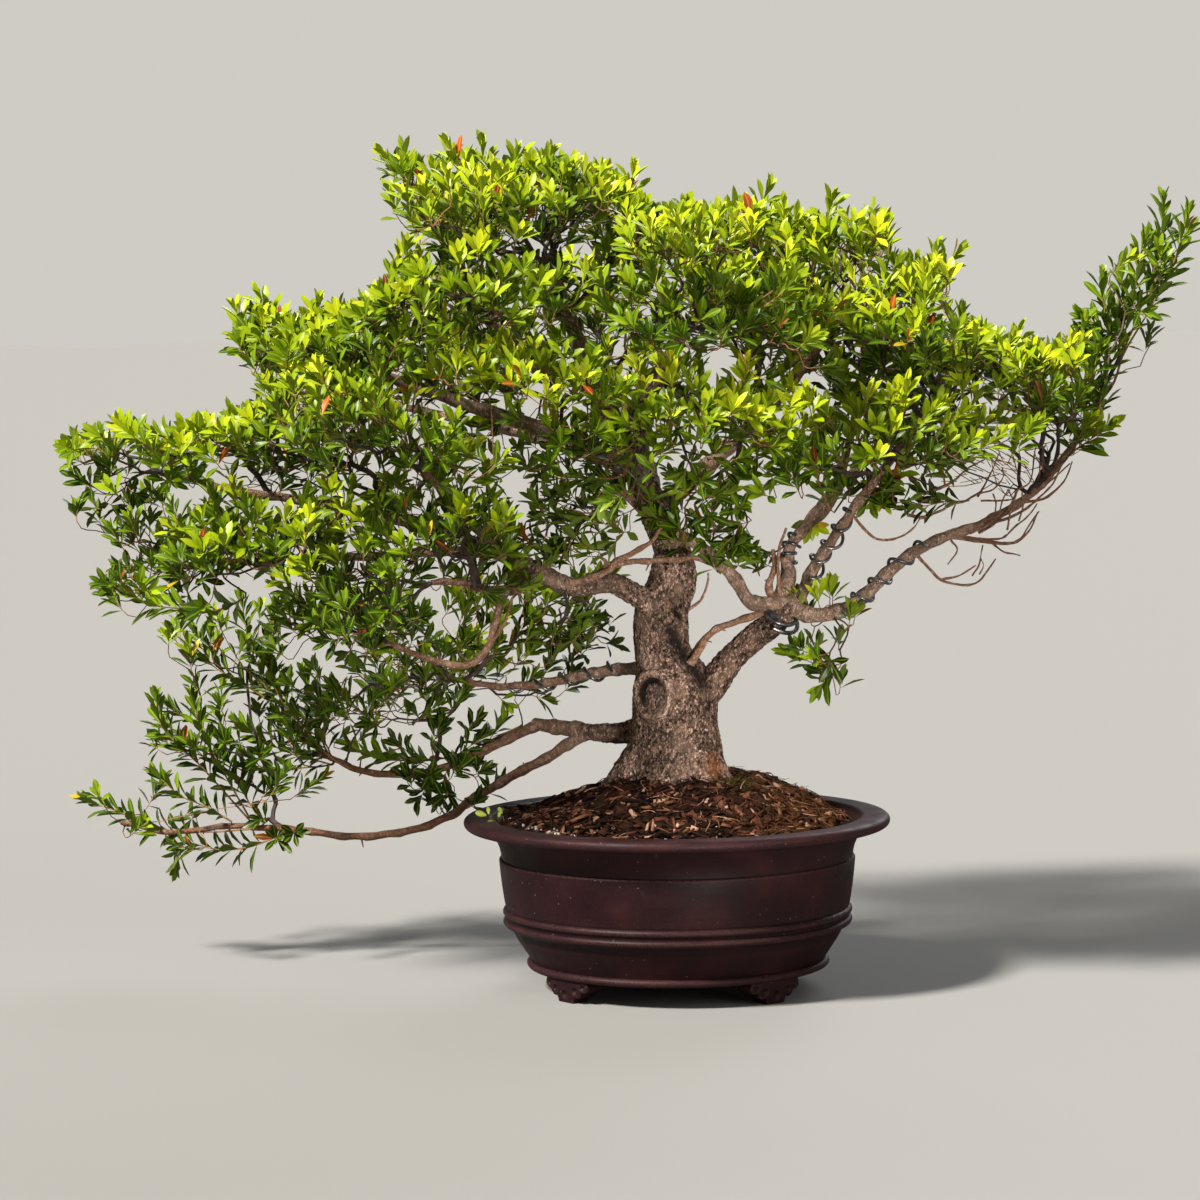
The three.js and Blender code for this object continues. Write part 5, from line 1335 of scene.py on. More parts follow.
# Shoots that the shears have left long: thickness, and places from foot to tip.
LEADERS = [
    (1.2, [[342, 4, 467], [353, 3, 480], [358, 3, 491], [362, 2, 505], [371, 2, 521], [379, 1, 534],
           [390, 0, 554], [401, 0, 574], [408, -1, 595], [412, -2, 609], [414, -2, 616]]),
    (0.9, [[363, 0, 511], [371, 1, 528], [376, 2, 542], [382, 3, 554], [388, 5, 574], [392, 6, 589],
           [396, 7, 614], [396, 8, 625]]),
    (0.8, [[363, 0, 512], [365, -2, 531], [369, -4, 548], [373, -7, 570], [374, -9, 582], [377, -10, 594]]),
    (0.7, [[361, 0, 516], [355, -2, 530], [349, -3, 542], [345, -5, 553], [345, -6, 563]]),
    (0.7, [[364, 2, 518], [360, 5, 534], [363, 8, 553], [363, 10, 565]]),
    (0.7, [[362, 0, 515], [349, -6, 525], [338, -11, 532], [332, -14, 535]]),
    (0.8, [[342, 4, 467], [338, 1, 478], [339, -3, 494], [339, -6, 507], [338, -8, 514]]),
    (0.7, [[339, 2, 479], [331, 4, 484], [328, 6, 494], [325, 8, 502]]),
    (0.7, [[340, 2, 479], [348, 1, 488], [353, 1, 500], [358, 0, 510]]),
    (1.1, [[156, -30, 470], [159, -36, 490], [162, -40, 508], [167, -45, 525], [171, -50, 543],
           [170, -56, 566], [177, -60, 577]]),
    (1.0, [[190, 0, 538], [199, 2, 561], [208, 3, 578], [212, 4, 588]]),
    (0.7, [[199, 2, 561], [212, -3, 574], [226, -8, 586]]),
    (1.0, [[214, -20, 483], [222, -24, 503], [226, -28, 524], [229, -30, 536]]),
    (0.9, [[213, -10, 486], [197, -19, 504], [191, -26, 521], [189, -30, 530]]),
    (1.0, [[123, -50, 388], [112, -63, 416], [109, -73, 441], [116, -80, 456]]),
    (0.9, [[148, -50, 436], [142, -57, 458], [137, -61, 474], [133, -66, 491], [130, -70, 503]]),
    (0.8, [[153, -40, 394], [166, -59, 409], [178, -75, 419]]),
    (0.9, [[217, -20, 405], [214, -30, 422], [212, -38, 436], [217, -45, 449]]),
    (0.9, [[232, -10, 425], [241, -22, 444], [254, -31, 455], [271, -40, 456]]),
    (0.8, [[299, 0, 446], [291, -15, 468], [287, -20, 475]]),
    (0.9, [[301, 0, 452], [304, -9, 471], [309, -20, 494]]),
    (0.8, [[322, 0, 429], [327, -17, 445], [331, -25, 452]]),
    (0.8, [[323, 0, 430], [334, -12, 439], [345, -25, 448]]),
    (0.8, [[285, 0, 483], [293, -8, 502], [308, -15, 511]]),
    (0.8, [[268, 0, 492], [274, -6, 509], [277, -10, 521]]),
    (1.0, [[-178, 0, 595], [-187, -1, 608], [-196, -3, 626], [-209, -6, 650], [-218, -7, 663],
           [-224, -8, 669]]),
    (0.8, [[-194, -2, 623], [-189, -7, 635], [-187, -11, 647], [-188, -14, 656]]),
    (0.7, [[-209, -2, 650], [-211, 4, 661], [-213, 10, 672]]),
    (1.0, [[-122, 0, 636], [-137, -2, 642], [-154, -4, 648], [-168, -6, 665], [-175, -8, 677]]),
    (0.8, [[-145, 0, 645], [-148, -8, 662], [-149, -14, 675]]),
    (0.8, [[-130, 0, 647], [-125, -3, 659], [-123, -6, 668]]),
    (0.8, [[-311, -40, 530], [-317, -45, 545], [-323, -50, 557]]),
    (0.8, [[-285, -36, 534], [-283, -41, 545], [-281, -44, 552]]),
    (0.8, [[-328, -40, 513], [-337, -47, 533], [-343, -52, 548]]),
    (0.9, [[-341, -50, 324], [-354, -52, 317], [-375, -54, 312], [-394, -56, 316], [-414, -58, 319],
           [-427, -60, 326]]),
    (0.9, [[-252, -100, 302], [-265, -105, 311], [-275, -109, 313], [-284, -112, 308]]),
    (0.8, [[-106, -30, 640], [-102, -35, 656], [-96, -40, 667]]),
    (0.8, [[-32, -20, 630], [-32, -25, 641], [-30, -30, 653]]),
    (0.8, [[11, -20, 607], [11, -31, 617], [11, -40, 625]]),
    (0.8, [[24, -20, 601], [28, -25, 613], [37, -30, 619]]),
    (0.8, [[66, 10, 610], [71, 5, 624], [77, 0, 639]]),
    (0.8, [[123, 0, 604], [125, -11, 618], [128, -20, 629]]),
    (1.1, [[53, -60, 449], [53, -69, 473], [54, -76, 490], [61, -84, 510], [64, -95, 537]]),
    (1.0, [[54, -60, 450], [68, -65, 464], [85, -73, 484], [95, -80, 510], [102, -85, 527]]),
    (0.8, [[111, -40, 566], [111, -51, 584], [110, -60, 600]]),
    (0.9, [[-357, 137, 121], [-399, 134, 170], [-430, 132, 203], [-434, 131, 223]]),
    (0.9, [[-359, 137, 126], [-380, 137, 165], [-398, 136, 202], [-403, 136, 222]]),
    (0.9, [[-373, 137, 121], [-395, 138, 134], [-416, 140, 143], [-434, 141, 159]]),
    (0.9, [[-351, 137, 115], [-396, 140, 112], [-438, 142, 116], [-468, 144, 129], [-494, 146, 138]]),
    (0.9, [[-330, 137, 110], [-358, 141, 99], [-385, 145, 96], [-415, 149, 101], [-421, 151, 85]]),
    (0.9, [[-351, 137, 126], [-361, 142, 141], [-367, 146, 155], [-384, 156, 187]]),
    (1.2, [[-211, 150, 155], [-260, 148, 159], [-289, 146, 173], [-313, 145, 201], [-331, 143, 225],
           [-341, 142, 253]]),
    (0.8, [[-289, 150, 172], [-298, 148, 192], [-302, 147, 211], [-309, 145, 239]]),
    (0.8, [[-331, 150, 227], [-339, 149, 260], [-335, 148, 298]]),
    (0.8, [[-340, 150, 228], [-355, 151, 266], [-362, 151, 301]]),
    (0.8, [[-345, 150, 225], [-368, 151, 240], [-388, 153, 252], [-401, 154, 276]]),
    (0.8, [[-289, 150, 167], [-330, 154, 179], [-349, 155, 190], [-365, 157, 200]]),
    (0.8, [[-308, 150, 165], [-344, 157, 162], [-358, 160, 172]]),
    (0.8, [[-287, 150, 172], [-314, 157, 188], [-330, 163, 205]]),
    (0.8, [[-294, 150, 189], [-295, 158, 204], [-292, 166, 218]]),
    (0.55, [[132, -28, 263], [117, -30, 260], [106, -32, 266], [94, -34, 271]]),
    (0.5, [[131, -28, 260], [122, -32, 254], [117, -36, 248]]),
    (1.0, [[-127, 150, 198], [-194, 150, 171], [-249, 150, 172], [-270, 150, 181]]),
]  # fmt: skip

# How a branchlet grows where it isn't kept short: share of long shoots, their lengths, and spacing.
LOOSE = {
    "far_right_shoots": (0.5, 18, 34, 27), "trailing_shoot_high": (0.5, 18, 34, 18),
    "trailing_shoot_mid": (0.5, 18, 34, 34), "trailing_end": (0.5, 18, 34, 30),
    "second_trailing_end": (0.5, 18, 34, 30), "second_trailing_mid": (0.6, 20, 40, 22),
    "second_trailing_root": (0.4, 18, 36, 18), "apex_spike": (0.5, 20, 34, 16),
    "right_spike": (0.6, 20, 34, 17), "right_pad_outer": (0.5, 20, 40, 16),
    "right_pad_end": (0.5, 20, 38, 16), "right_pad_top": (0.5, 20, 40, 16),
    "right_pad_front": (0.5, 20, 40, 16), "hanging_right_sprig": (0.3, 8, 12, 19),
}  # fmt: skip
KEPT_SHORT = (0.24, 18, 32, 15)
BARE_GAP = 9  # between twigs without leaves
TRAILING_TOP = 284  # the trailing branches' growth keeps below the left pad
SPOTS_A_POINT = 9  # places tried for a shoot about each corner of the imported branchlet
SPOT_SPREAD = (14, 14, 9)
PULLS = 7  # times that a shoot whose tip is outside the outline is moved in
PULL = 9
LUCKY_SHARE = 0.12  # of the places: these may stand in deep shade
CLEARED_SHARE = 0.85  # of the places in a gap of the crown: these stay empty
LOWEST_SHOOT = 84
SHADE_REACH = 20
SHADE_HEIGHTS = (13, 70)  # a shoot shades what is this far below it
DEEP_SHADE = 2  # shoots above
TWIG_GIRTH = 0.48  # radius of the twig that feeds one shoot
GIRTH_POWER = 0.43  # by which it grows with the number of shoots
LOAD_POWER = 2.3  # and how many shoots a leader's foot counts for
STOUT_TWIG = 1.15
GREEN_WOOD = 0.55  # least tone of a leader's wood
TURNED_SHARE = 0.010
TURNED_TONES = (0.90, 0.95, 0.97, 1.0)
LEAF_LENGTH = 21
LEAF_GAP = 2.8  # along a leader
LEADER_LEAVES = 88  # how far down from its tip a leader is in leaf
LEADER_TIP = 0.36
LEADER_STEPS = 12
GOLDEN_TURN = math.pi * (3 - math.sqrt(5))


def leaf_blade():
    """A leaf one unit long along X, face up: widest past its middle, and folded on its midrib."""
    bpy.ops.object.select_all(action="DESELECT")
    bpy.ops.mesh.primitive_uv_sphere_add(segments=4, ring_count=4, radius=1)
    blade = bpy.context.object
    places = vertices_of(blade)
    faces = [list(face.vertices) for face in blade.data.polygons]
    bpy.data.objects.remove(blade)
    ball_rings = (-1, -0.707, 0, 0.707, 1)
    along = np.interp(places[:, 2], ball_rings, (0, 0.30, 0.60, 0.84, 1))
    half_width = np.interp(places[:, 2], ball_rings, (0, 0.078, 0.160, 0.110, 0))
    edge = np.sign(np.round(places[:, 0], 3))
    upper = np.sign(np.round(places[:, 1], 3))
    bend = 0.12 * along - 0.16 * along**2
    height = np.where(edge != 0, 0.34 * half_width, 0.016 * upper * (half_width > 0)) + bend
    shape = np.stack([along, edge * half_width, height], axis=1)
    under = np.array([upper[face].min() < 0 for face in faces])
    for face, low_side in zip(faces, under):
        a, b, c = shape[face[:3]]
        if (np.cross(b - a, c - b)[2] > 0) == low_side:
            face.reverse()
    return shape, faces, (edge == 0) & (upper >= 0), under


LEAF_SHAPE, LEAF_FACES, LEAF_RIB, LEAF_UNDER = leaf_blade()
LEAF_QUADS = np.array([face for face in LEAF_FACES if len(face) == 4])
LEAF_TIPS = np.array([face for face in LEAF_FACES if len(face) == 3])
UNDER_QUADS = np.array([u for face, u in zip(LEAF_FACES, LEAF_UNDER) if len(face) == 4])
UNDER_TIPS = np.array([u for face, u in zip(LEAF_FACES, LEAF_UNDER) if len(face) == 3])


def unit(vectors):
    vectors = np.asarray(vectors, float)
    return vectors / np.linalg.norm(vectors, axis=-1, keepdims=True).clip(1e-9)


def from_front(places):
    """Where places stand on the upright plane through the pot's axis, seen from the tree's front."""
    share = (FRONT_VIEW[1] / (FRONT_VIEW[1] - places[:, 1]))[:, None]
    return (FRONT_VIEW[[0, 2]] + (places[:, [0, 2]] - FRONT_VIEW[[0, 2]]) * share).T


def within(outline, places):
    x, z = from_front(places)
    inside = np.zeros(len(places), bool)
    for (x0, z0), (x1, z1) in zip(outline, outline[1:] + outline[:1]):
        if z0 != z1:
            inside ^= ((z0 > z) != (z1 > z)) & (x < (x1 - x0) * (z - z0) / (z1 - z0) + x0)
    return inside


def in_window(places):
    """Which places would close one of the gaps where the crown shows its twigs."""
    x, z = from_front(places)
    gaps = [np.hypot((x - cx) / rx, (z - cz) / rz) < 1 for cx, cz, rx, rz in WINDOWS]
    return np.any(gaps, axis=0) & (places[:, 1] < 70)


def whorls(rng, feet, ways, lengths, counts):
    """Leaves round short shoots, wide open at the foot and closing towards the tip: foot, way of the
    shoot, turn about it, pitch from it in degrees, size, share of the way up, and number of the shoot."""
    shoot = np.repeat(np.arange(len(feet)), counts)
    order = np.concatenate([np.arange(count) for count in counts])
    share = (order + 0.6) / counts[shoot]
    height = np.where(counts > 9, 0.08, 0.38)[shoot]
    height = height + (1 - height) * share
    foot = feet[shoot] + ways[shoot] * (lengths[shoot] * height)[:, None]
    turn = order * GOLDEN_TURN + rng.uniform(0, 6, len(feet))[shoot]
    pitch = np.interp(share, (0, 1), (64, 16))
    size = np.interp(share, (0, 0.4, 1), (0.88, 1, 0.66))
    return foot, ways[shoot], turn, pitch, size, share, shoot


def ranks(rng, line, shoot):
    """Leaves up a leader, one by one, ending in a closed whorl, told as whorls tells them."""
    length = np.concatenate([[0], np.cumsum(np.linalg.norm(np.diff(line[:, :3], axis=0), axis=1))])
    low = max(0.06 * length[-1], length[-1] - LEADER_LEAVES)
    up = np.concatenate([np.arange(low, length[-1], LEAF_GAP), np.full(4, length[-1])])
    foot = np.stack([np.interp(up, length, line[:, i]) for i in range(3)], axis=1)
    way = unit(np.stack([np.interp(up, length, np.gradient(line[:, i])) for i in range(3)], axis=1))
    order = np.arange(len(up))
    share = (up - low) / (length[-1] - low)
    turn = order * GOLDEN_TURN + rng.uniform(0, 6)
    pitch = np.interp(share, (0, 0.8, 1), (60, 42, 18)) - 3 * np.maximum(order - len(up) + 4, 0)
    size = np.interp(share, (0, 0.8, 1), (1.16, 1.12, 0.82))
    return foot, way, turn, pitch, size, share, np.full(len(up), shoot)


def blades(rng, foot, way, turn, pitch, size):
    """Leaves from their feet, turned round their shoots and leaning out from them by the pitch."""
    side = unit(np.cross(way, (0.31, 0.9, 0.3)))
    out = side * np.cos(turn)[:, None] + np.cross(way, side) * np.sin(turn)[:, None]
    out = unit(out + rng.normal(0, 0.13, out.shape))
    pitch = np.radians(pitch + rng.normal(0, 7, len(turn)))[:, None]
    along = unit(way * np.cos(pitch) + out * np.sin(pitch) + (0, 0, 0.14))
    up = way * np.sin(pitch) - out * np.cos(pitch) + (0, -0.5, 0.25)
    up = unit(up + rng.normal(0, 0.12, along.shape))
    across = unit(np.cross(up, along))
    up = np.cross(along, across)
    size = LEAF_LENGTH * size * rng.uniform(0.8, 1.12, len(turn))
    breadth = rng.uniform(0.84, 1.1, (len(turn), 1))
    stand = np.stack([along, across * breadth, up], axis=1) * size[:, None, None]
    places = np.einsum("vk,nkj->nvj", LEAF_SHAPE, stand) + foot[:, None]
    start = len(LEAF_SHAPE) * np.arange(len(turn))[:, None, None]
    faces = [(LEAF_QUADS[None] + start).reshape(-1, 4), (LEAF_TIPS[None] + start).reshape(-1, 3)]
    return places.reshape(-1, 3), faces


def grow_twigs(rng, root, heading, ends, ways, loads):
    """Twigs from a root to every end, each leaving the nearest wood so far in a smooth curve."""
    places, leads, reach, below = [root], [heading], [0.0], [-1]
    routes = []
    t = np.array([0.25, 0.5, 0.75, 1.0])[:, None]
    order = np.argsort(np.linalg.norm(ends - root, axis=1))
    for i in order:
        gaps = np.linalg.norm(np.array(places) - ends[i], axis=1)
        start = int(np.argmin(gaps + 0.45 * np.array(reach)))
        a, end, gap = places[start], ends[i], gaps[start]
        b = a + 0.35 * min(gap, 45) * unit(0.6 * leads[start] + (end - a) / gap)
        c = end - 0.3 * min(gap, 45) * ways[i]
        curve = a * (1 - t) ** 3 + 3 * b * t * (1 - t) ** 2 + 3 * c * t**2 * (1 - t) + end * t**3
        curve[:3] += rng.normal(0, 0.022 * gap, (3, 3))
        route, last = [start], start
        for point in curve:
            step = point - places[last]
            places.append(point)
            leads.append(unit(step))
            reach.append(reach[last] + np.linalg.norm(step))
            below.append(last)
            last = len(places) - 1
            route.append(last)
        routes.append(route)
    load = np.zeros(len(places))
    load[[route[-1] for route in routes]] = loads[order]
    for i in range(len(places) - 1, 0, -1):
        load[below[i]] += load[i]
    radius = TWIG_GIRTH * load**GIRTH_POWER
    routes = np.array(routes)
    thick = radius[routes]
    thick[:, 0] = np.minimum(thick[:, 0], 1.15 * thick[:, 1])
    return np.concatenate([np.array(places)[routes], thick[..., None]], axis=2)


def leaf_material():
    """Leathery azalea leaves: deep to yellow-green, a pale midrib, paler below, and a few turned ones."""
    material, tree, shader = new_material("azalea_leaf", Specular_IOR_Level=0.3)
    cloud, grain, speck, _ = mottled(tree, 60, 1400, 700)
    greens = [
        (0.0, (0.010, 0.030, 0.001)), (0.25, (0.044, 0.106, 0.002)), (0.48, (0.19, 0.31, 0.003)),
        (0.68, (0.49, 0.62, 0.004)), (0.86, (0.78, 0.82, 0.02)), (0.90, (0.78, 0.48, 0.02)),
        (0.95, (0.68, 0.11, 0.012)), (1.0, (0.32, 0.026, 0.010)),
    ]  # fmt: skip
    under = value_of(tree, "under")
    tint = coated(
        tree,
        # The tone carries the painted light and shade that leaf_tones gives each leaf.
        ramp(tree, value_of(tree, "tone"), greens),
        (spread(tree, cloud, 0.4, 0.7, 0, 0.25), (0.09, 0.20, 0.004)),
        (spread(tree, value_of(tree, "rib"), 0.72, 1.0, 0, 0.5), (0.52, 0.60, 0.05)),
        (times(tree, under, 0.5), (0.21, 0.29, 0.032)),
        (times(tree, speck, 0.35), (0.22, 0.14, 0.05)),
    )
    rough = plus(tree, spread(tree, grain, 0.3, 0.7, 0.27, 0.40), times(tree, under, 0.25))
    feed(tree, shader, Base_Color=tint, Roughness=rough, Normal=bump(tree, grain, 0.18, 0.0004))
    return material


def twig_material():
    """Twig bark: grey to purplish brown on old wood, tan and reddish on young shoots."""
    material, tree, shader = new_material("azalea_twig", Roughness=0.66, Specular_IOR_Level=0.35)
    cloud, grain, _, _ = mottled(tree, 90, 700, 300)
    woods = [
        (0.0, (0.070, 0.048, 0.045)), (0.35, (0.10, 0.058, 0.048)), (0.6, (0.27, 0.115, 0.050)),
        (1.0, (0.60, 0.33, 0.075)),
    ]  # fmt: skip
    worn = (spread(tree, cloud, 0.45, 0.7, 0, 0.45), (0.26, 0.19, 0.17))
    tint = coated(tree, ramp(tree, value_of(tree, "tone"), woods), worn)
    feed(tree, shader, Base_Color=tint, Normal=bump(tree, grain, 0.4, 0.0006))
    return material


def spots_for(rng, name, wood):
    """Places where a branchlet may carry a shoot, roughly from the top down, and which of them fill
    the crown between the branchlets."""
    spots = np.repeat(wood, SPOTS_A_POINT, axis=0)
    spots = spots + rng.normal(size=spots.shape) * SPOT_SPREAD
    for centre, half, count in FILLED.get(name, []):
        extra = unit(rng.normal(size=(8 * count, 3))) * rng.uniform(0, 1, (8 * count, 1)) ** 0.4
        spots = np.concatenate([spots, extra * half + centre])
    fillers = np.arange(len(spots)) >= SPOTS_A_POINT * len(wood)
    order = np.argsort(rng.uniform(-14, 14, len(spots)) - spots[:, 2])
    return spots[order], fillers[order]


def shoots_for(rng, name, spots, middle, root, outline):
    """The shoot at each spot: its way out and up, its length, how far its leaves reach and whether it is
    long. Spots whose leaves reach out of the outline are moved in."""
    long_share, shortest, longest, _ = LOOSE.get(name, KEPT_SHORT)
    way = 0.5 * unit(spots - middle) + 0.25 * unit(spots - root) + (0, 0, 0.62)
    way = unit(way + rng.normal(0, 0.26, spots.shape))
    long = rng.uniform(size=len(spots)) < long_share
    length = np.where(long, rng.uniform(shortest, longest, len(spots)), rng.uniform(7, 15, len(spots)))
    reach = length + np.where(long, 10, 17)
    for _ in range(PULLS):
        out = ~within(outline, spots + way * reach[:, None])
        spots[out] += PULL * unit(middle - spots[out])
    return way, length, reach, long


def with_room(rng, name, spots, fillers, way, length, reach, outline, taken):
    """Which shoots are kept: those apart from all others so far and not in deep shade. Also how shaded
    each of them is, whether it has no leaves, and all the places that are taken now."""
    spacing = LOOSE.get(name, KEPT_SHORT)[3]
    lucky = fillers | (rng.uniform(size=len(spots)) < LUCKY_SHARE)
    tips = spots + way * reach[:, None]
    shallow = np.abs(metres(tips)[:, 1]) < cad_box[1].y
    closed = in_window(spots) & ~fillers & (rng.uniform(size=len(spots)) < CLEARED_SHARE)
    closed |= (spots[:, 2] > TRAILING_TOP) & ("trailing" in name)
    leafless = within(LEAFLESS, spots + way * length[:, None] * 0.6)
    room = np.where(leafless, BARE_GAP, spacing + 2 * (spots[:, 1] > 60))
    kept = []
    shaded = []
    for i in np.flatnonzero(within(outline, tips) & shallow & (spots[:, 2] > LOWEST_SHOOT) & ~closed):
        apart = taken - spots[i]
        if np.any(np.sum(apart**2, axis=1) < room[i] ** 2):
            continue
        level = np.hypot(apart[:, 0], apart[:, 1]) < SHADE_REACH
        shade = np.sum(level & (apart[:, 2] > SHADE_HEIGHTS[0]) & (apart[:, 2] < SHADE_HEIGHTS[1]))
        if shade < DEEP_SHADE or lucky[i]:
            taken = np.concatenate([taken, spots[i : i + 1]])
            kept.append(i)
            shaded.append(min(shade, DEEP_SHADE))
    return kept, np.array(shaded), leafless[kept], taken


def shoot_rods(rng, spots, way, length, long):
    """The long shoots as bent lines with their radius, and the short ones as straight lines."""
    sway = rng.normal(0, 0.05, way.shape) * length[:, None]
    t = np.array([0, 0.5, 1.0])[None, :, None]
    lines = spots[:, None] + way[:, None] * length[:, None, None] * t + sway[:, None] * t * (1 - t) * 4
    thick = np.repeat([[[0.5], [0.45], [0.3]]], len(spots), axis=0)
    shoots = np.concatenate([lines, thick], axis=2)
    return shoots[long], shoots[~long][:, ::2]


def leaf_tones(rng, spots, shaded, middle, lines, share, shoot):
    """How light each leaf's colour is: painted lighter high up and darker under other shoots, low down and at
    the far right, as painted light and shade, and lighter at a shoot's tip. A few have turned.
    """
    height = smoothstep(spots[:, 2] - middle[2], -45, 45)
    # Painted light and shade, with leaf age: lighter high in a branchlet, darker under other shoots, low down
    # and at the far right; the leaders are darker by their foot in the same way.
    painted_light_and_age = 0.37 + 0.22 * height - 0.14 * shaded + rng.normal(0, 0.09, len(spots))
    painted_light_and_age -= 0.22 * smoothstep(spots[:, 2], 390, 250) + 0.28 * smoothstep(spots[:, 0], 310, 380)
    foot = np.array([line[0, :3] for line in lines]).reshape(-1, 3)
    shade = 0.3 * smoothstep(foot[:, 2], 380, 260) + 0.28 * smoothstep(foot[:, 0], 310, 345)
    painted_light_and_age = np.concatenate([painted_light_and_age, rng.uniform(0.38, 0.52, len(lines)) - shade])
    tone = np.clip(painted_light_and_age[shoot] + 0.26 * share + rng.normal(0, 0.06, len(share)), 0.02, 0.85)
    turned_leaf = rng.uniform(size=len(tone)) < TURNED_SHARE * (1.3 - share)
    tone[turned_leaf] = rng.choice(TURNED_TONES, turned_leaf.sum())
    return tone


def wood_tones(paths, sides, least):
    """How young the wood is at each place of the rods: more so where it is thin, and never under the
    least."""
    thin = np.interp(paths[..., 3], (0.3, 0.5, 1.1), (0.9, 0.6, 0))
    return np.repeat(np.maximum(thin, least).ravel() + least * 0.4, sides)


FRONT_VIEW = (np.array(bpy.context.scene.camera.location) - AXIS) / MM
leaf_finish = leaf_material()
twig_finish = twig_material()
limb_lines = np.concatenate([smooth_route(route, 12) for route in LIMBS.values()])
rng = np.random.default_rng(41)
branchlets = {}
for node_name in sorted(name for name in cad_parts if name.startswith("branchlet_")):
    packed = (vertices_of(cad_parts[node_name]) - AXIS) / MM
    branchlets[node_name] = np.unique(np.round(packed, 2), axis=0)

# Each leader belongs to the branchlet that comes nearest to its foot.
taken = np.zeros((0, 3))
leaders = {node_name: [] for node_name in branchlets}
for thickness, route in LEADERS:
    carrier = min(branchlets, key=lambda n: np.linalg.norm(branchlets[n] - route[0], axis=1).min())
    last = len(route) - 1
    points = [[*place, thickness + (LEADER_TIP - thickness) * i / last] for i, place in enumerate(route)]
    line = smooth_route(points, math.ceil(LEADER_STEPS / last))
    leaders[carrier].append(line)
    taken = np.concatenate([taken, line[3::4, :3]])

for node_name, wood in branchlets.items():
    name = node_name.removeprefix("branchlet_")
    outline = SPRIG if name == "hanging_right_sprig" else CROWN
    lines = leaders[node_name]
    gaps = np.linalg.norm(wood[:, None] - limb_lines[None, :, :3], axis=2)
    root = limb_lines[np.unravel_index(np.argmin(gaps), gaps.shape)[1], :3]
    middle = wood.mean(axis=0)

    spots, fillers = spots_for(rng, name, wood)
    way, length, reach, long = shoots_for(rng, name, spots, middle, root, outline)
    kept, shaded, leafless, taken = with_room(rng, name, spots, fillers, way, length, reach, outline, taken)
    spots, way, length, long = spots[kept], way[kept], length[kept], long[kept]

    ends, end_ways = spots, way
    if lines:
        ends = np.concatenate([spots, [line[0, :3] for line in lines]])
        end_ways = np.concatenate([way, unit([line[1, :3] - line[0, :3] for line in lines])])
    loads = np.array([1] * len(spots) + [(line[0, 3] / TWIG_GIRTH) ** LOAD_POWER for line in lines])
    twigs = grow_twigs(rng, root, unit(middle - root), ends, end_ways, loads)
    stout = twigs[:, 0, 3] > STOUT_TWIG
    long_shoots, short_shoots = shoot_rods(rng, spots, way, length, long)
    wooden = [(twigs[stout], 5), (twigs[~stout], 3), (long_shoots, 3), (short_shoots, 3)]
    wooden += [(line[None], 5) for line in lines]
    wooden = [(paths, sides) for paths, sides in wooden if len(paths)]

    counts = np.where(long, 5 + length / 3.6, rng.integers(6, 9, len(spots))).astype(int)
    counts[leafless] = 0
    sets = [whorls(rng, spots, way, length, counts)]
    sets += [ranks(rng, line, len(spots) + i) for i, line in enumerate(lines)]
    foot, leaf_way, turn, pitch, size, share, shoot = (np.concatenate(values) for values in zip(*sets))
    parts = [rods(paths, sides) for paths, sides in wooden]
    bare = sum(len(part[0]) for part in parts)
    bare_faces = sum(len(face_set) for part in parts for face_set in part[1])
    parts.append(blades(rng, foot, leaf_way, turn, pitch, size))
    places, faces, _ = gather(parts)
    piece = mesh_piece(f"leafy_{name}", places, faces)

    tone = leaf_tones(rng, spots, shaded, middle, lines, share, shoot)
    least = [0.0] * (len(wooden) - len(lines)) + [GREEN_WOOD] * len(lines)
    wood_tone = [wood_tones(*rod, low) for rod, low in zip(wooden, least)]
    low_sides = np.concatenate([np.tile(UNDER_QUADS, len(tone)), np.tile(UNDER_TIPS, len(tone))])
    add_value(piece, "tone", np.concatenate([*wood_tone, np.repeat(tone, len(LEAF_SHAPE))]))
    add_value(piece, "rib", np.concatenate([np.zeros(bare), np.tile(LEAF_RIB, len(tone))]))
    add_value(piece, "under", np.concatenate([np.zeros(bare_faces), low_sides]), "FACE")
    piece.data.materials.append(leaf_finish)
    piece.data.materials.append(twig_finish)
    finish_of_face = np.repeat((1, 0), (bare_faces, len(low_sides))).astype(np.int32)
    piece.data.polygons.foreach_set("material_index", finish_of_face)
    smooth_shading(piece, 45)
    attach(piece, "root")
    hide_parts(node_name)

# ---------------------------------------------------------------- seedling
# A self-sown plant, rooted in the mulch by the left rim: a thin reddish stem that forks low down, and
# a few pale, tender leaves, broader than the tree's own. A stem point is [x, y, z, radius].

SEEDLING_STEMS = [
    [[-137, -24, 127, 0.5], [-141, -25, 134, 0.45], [-147, -27, 140, 0.4], [-151, -28.5, 144, 0.35]],
    [[-139, -24.5, 131, 0.45], [-139, -22, 138, 0.35], [-140, -20.5, 143, 0.3]],
    [[-143, -25.5, 136, 0.4], [-143.5, -30, 140, 0.35], [-144, -33, 143, 0.3]],
]
STEM_TINT = (0.30, 0.15, 0.05, 1)
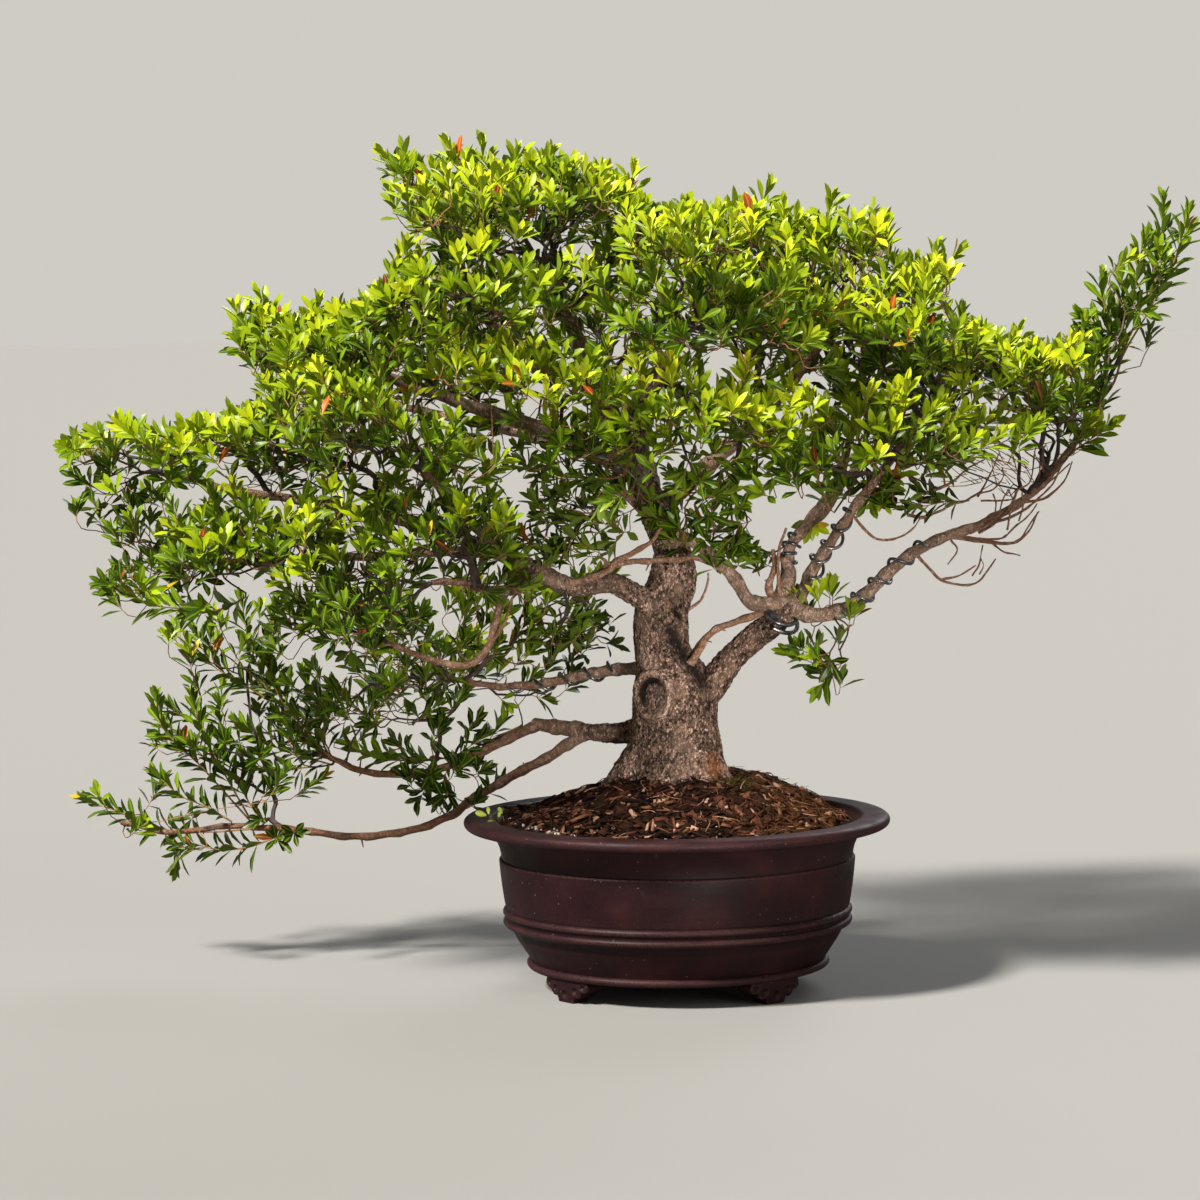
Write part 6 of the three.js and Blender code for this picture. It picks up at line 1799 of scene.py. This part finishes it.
# Foot, way, length and breadth of each leaf.
SEEDLING_LEAVES = [
    ((-151, -28.5, 144), (-0.8, -0.3, 0.25), 13.0, 2.2), ((-140, -20.5, 143), (-0.4, 0.2, 0.8), 8.5, 2.2),
    ((-144, -33, 143), (0.3, -0.6, 0.6), 8.0, 2.3), ((-151, -28.5, 144), (-0.1, 0.2, 0.9), 8.0, 2.1),
    ((-147, -27, 140), (-0.6, -0.6, -0.1), 7.5, 2.1), ((-139, -22, 138), (0.8, 0.1, 0.5), 7.5, 2.2),
]  # fmt: skip

seedling_parts = [rods(smooth_route(stem, 4)[None], 6) for stem in SEEDLING_STEMS]
for foot, way, length, breadth in SEEDLING_LEAVES:
    along = unit(way)
    across = unit(np.cross((0, -0.9, 0.6), along))
    frame_of_leaf = np.stack([along, across * breadth, np.cross(along, across)]) * length
    seedling_parts.append((LEAF_SHAPE @ frame_of_leaf + foot, [LEAF_QUADS, LEAF_TIPS]))
seedling_places, seedling_faces, seedling_owner = gather(seedling_parts)
seedling = mesh_piece("seedling_plant", seedling_places, seedling_faces)
in_leaf = seedling_owner >= len(SEEDLING_STEMS)
add_value(seedling, "blade", in_leaf)
seedling_rib = np.zeros(len(in_leaf))
seedling_rib[in_leaf] = np.tile(LEAF_RIB, len(SEEDLING_LEAVES))
add_value(seedling, "rib", seedling_rib)
apply_modifier(seedling, "SUBSURF", levels=1, render_levels=1)
smooth_shading(seedling, 50)


def seedling_material():
    """Tender young leaf: pale yellow-green, a lighter midrib, on a reddish stem."""
    material, tree, shader = new_material("tender_leaf", Roughness=0.48)
    cloud, grain, _, _ = mottled(tree, 150, 1500, 700)
    young = ramp(tree, cloud, [(0.3, (0.30, 0.40, 0.03)), (0.7, (0.52, 0.60, 0.07))])
    ribbed = (spread(tree, value_of(tree, "rib"), 0.6, 1.0, 0, 0.5), (0.70, 0.76, 0.26))
    parts = {"Fac": value_of(tree, "blade"), "Color1": STEM_TINT, "Color2": coated(tree, young, ribbed)}
    tint = node(tree, "MixRGB", parts).outputs["Color"]
    feed(tree, shader, Base_Color=tint, Normal=bump(tree, grain, 0.2, 0.0003))
    return material


seedling.data.materials.append(seedling_material())
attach(seedling, "root")
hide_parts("seedling")
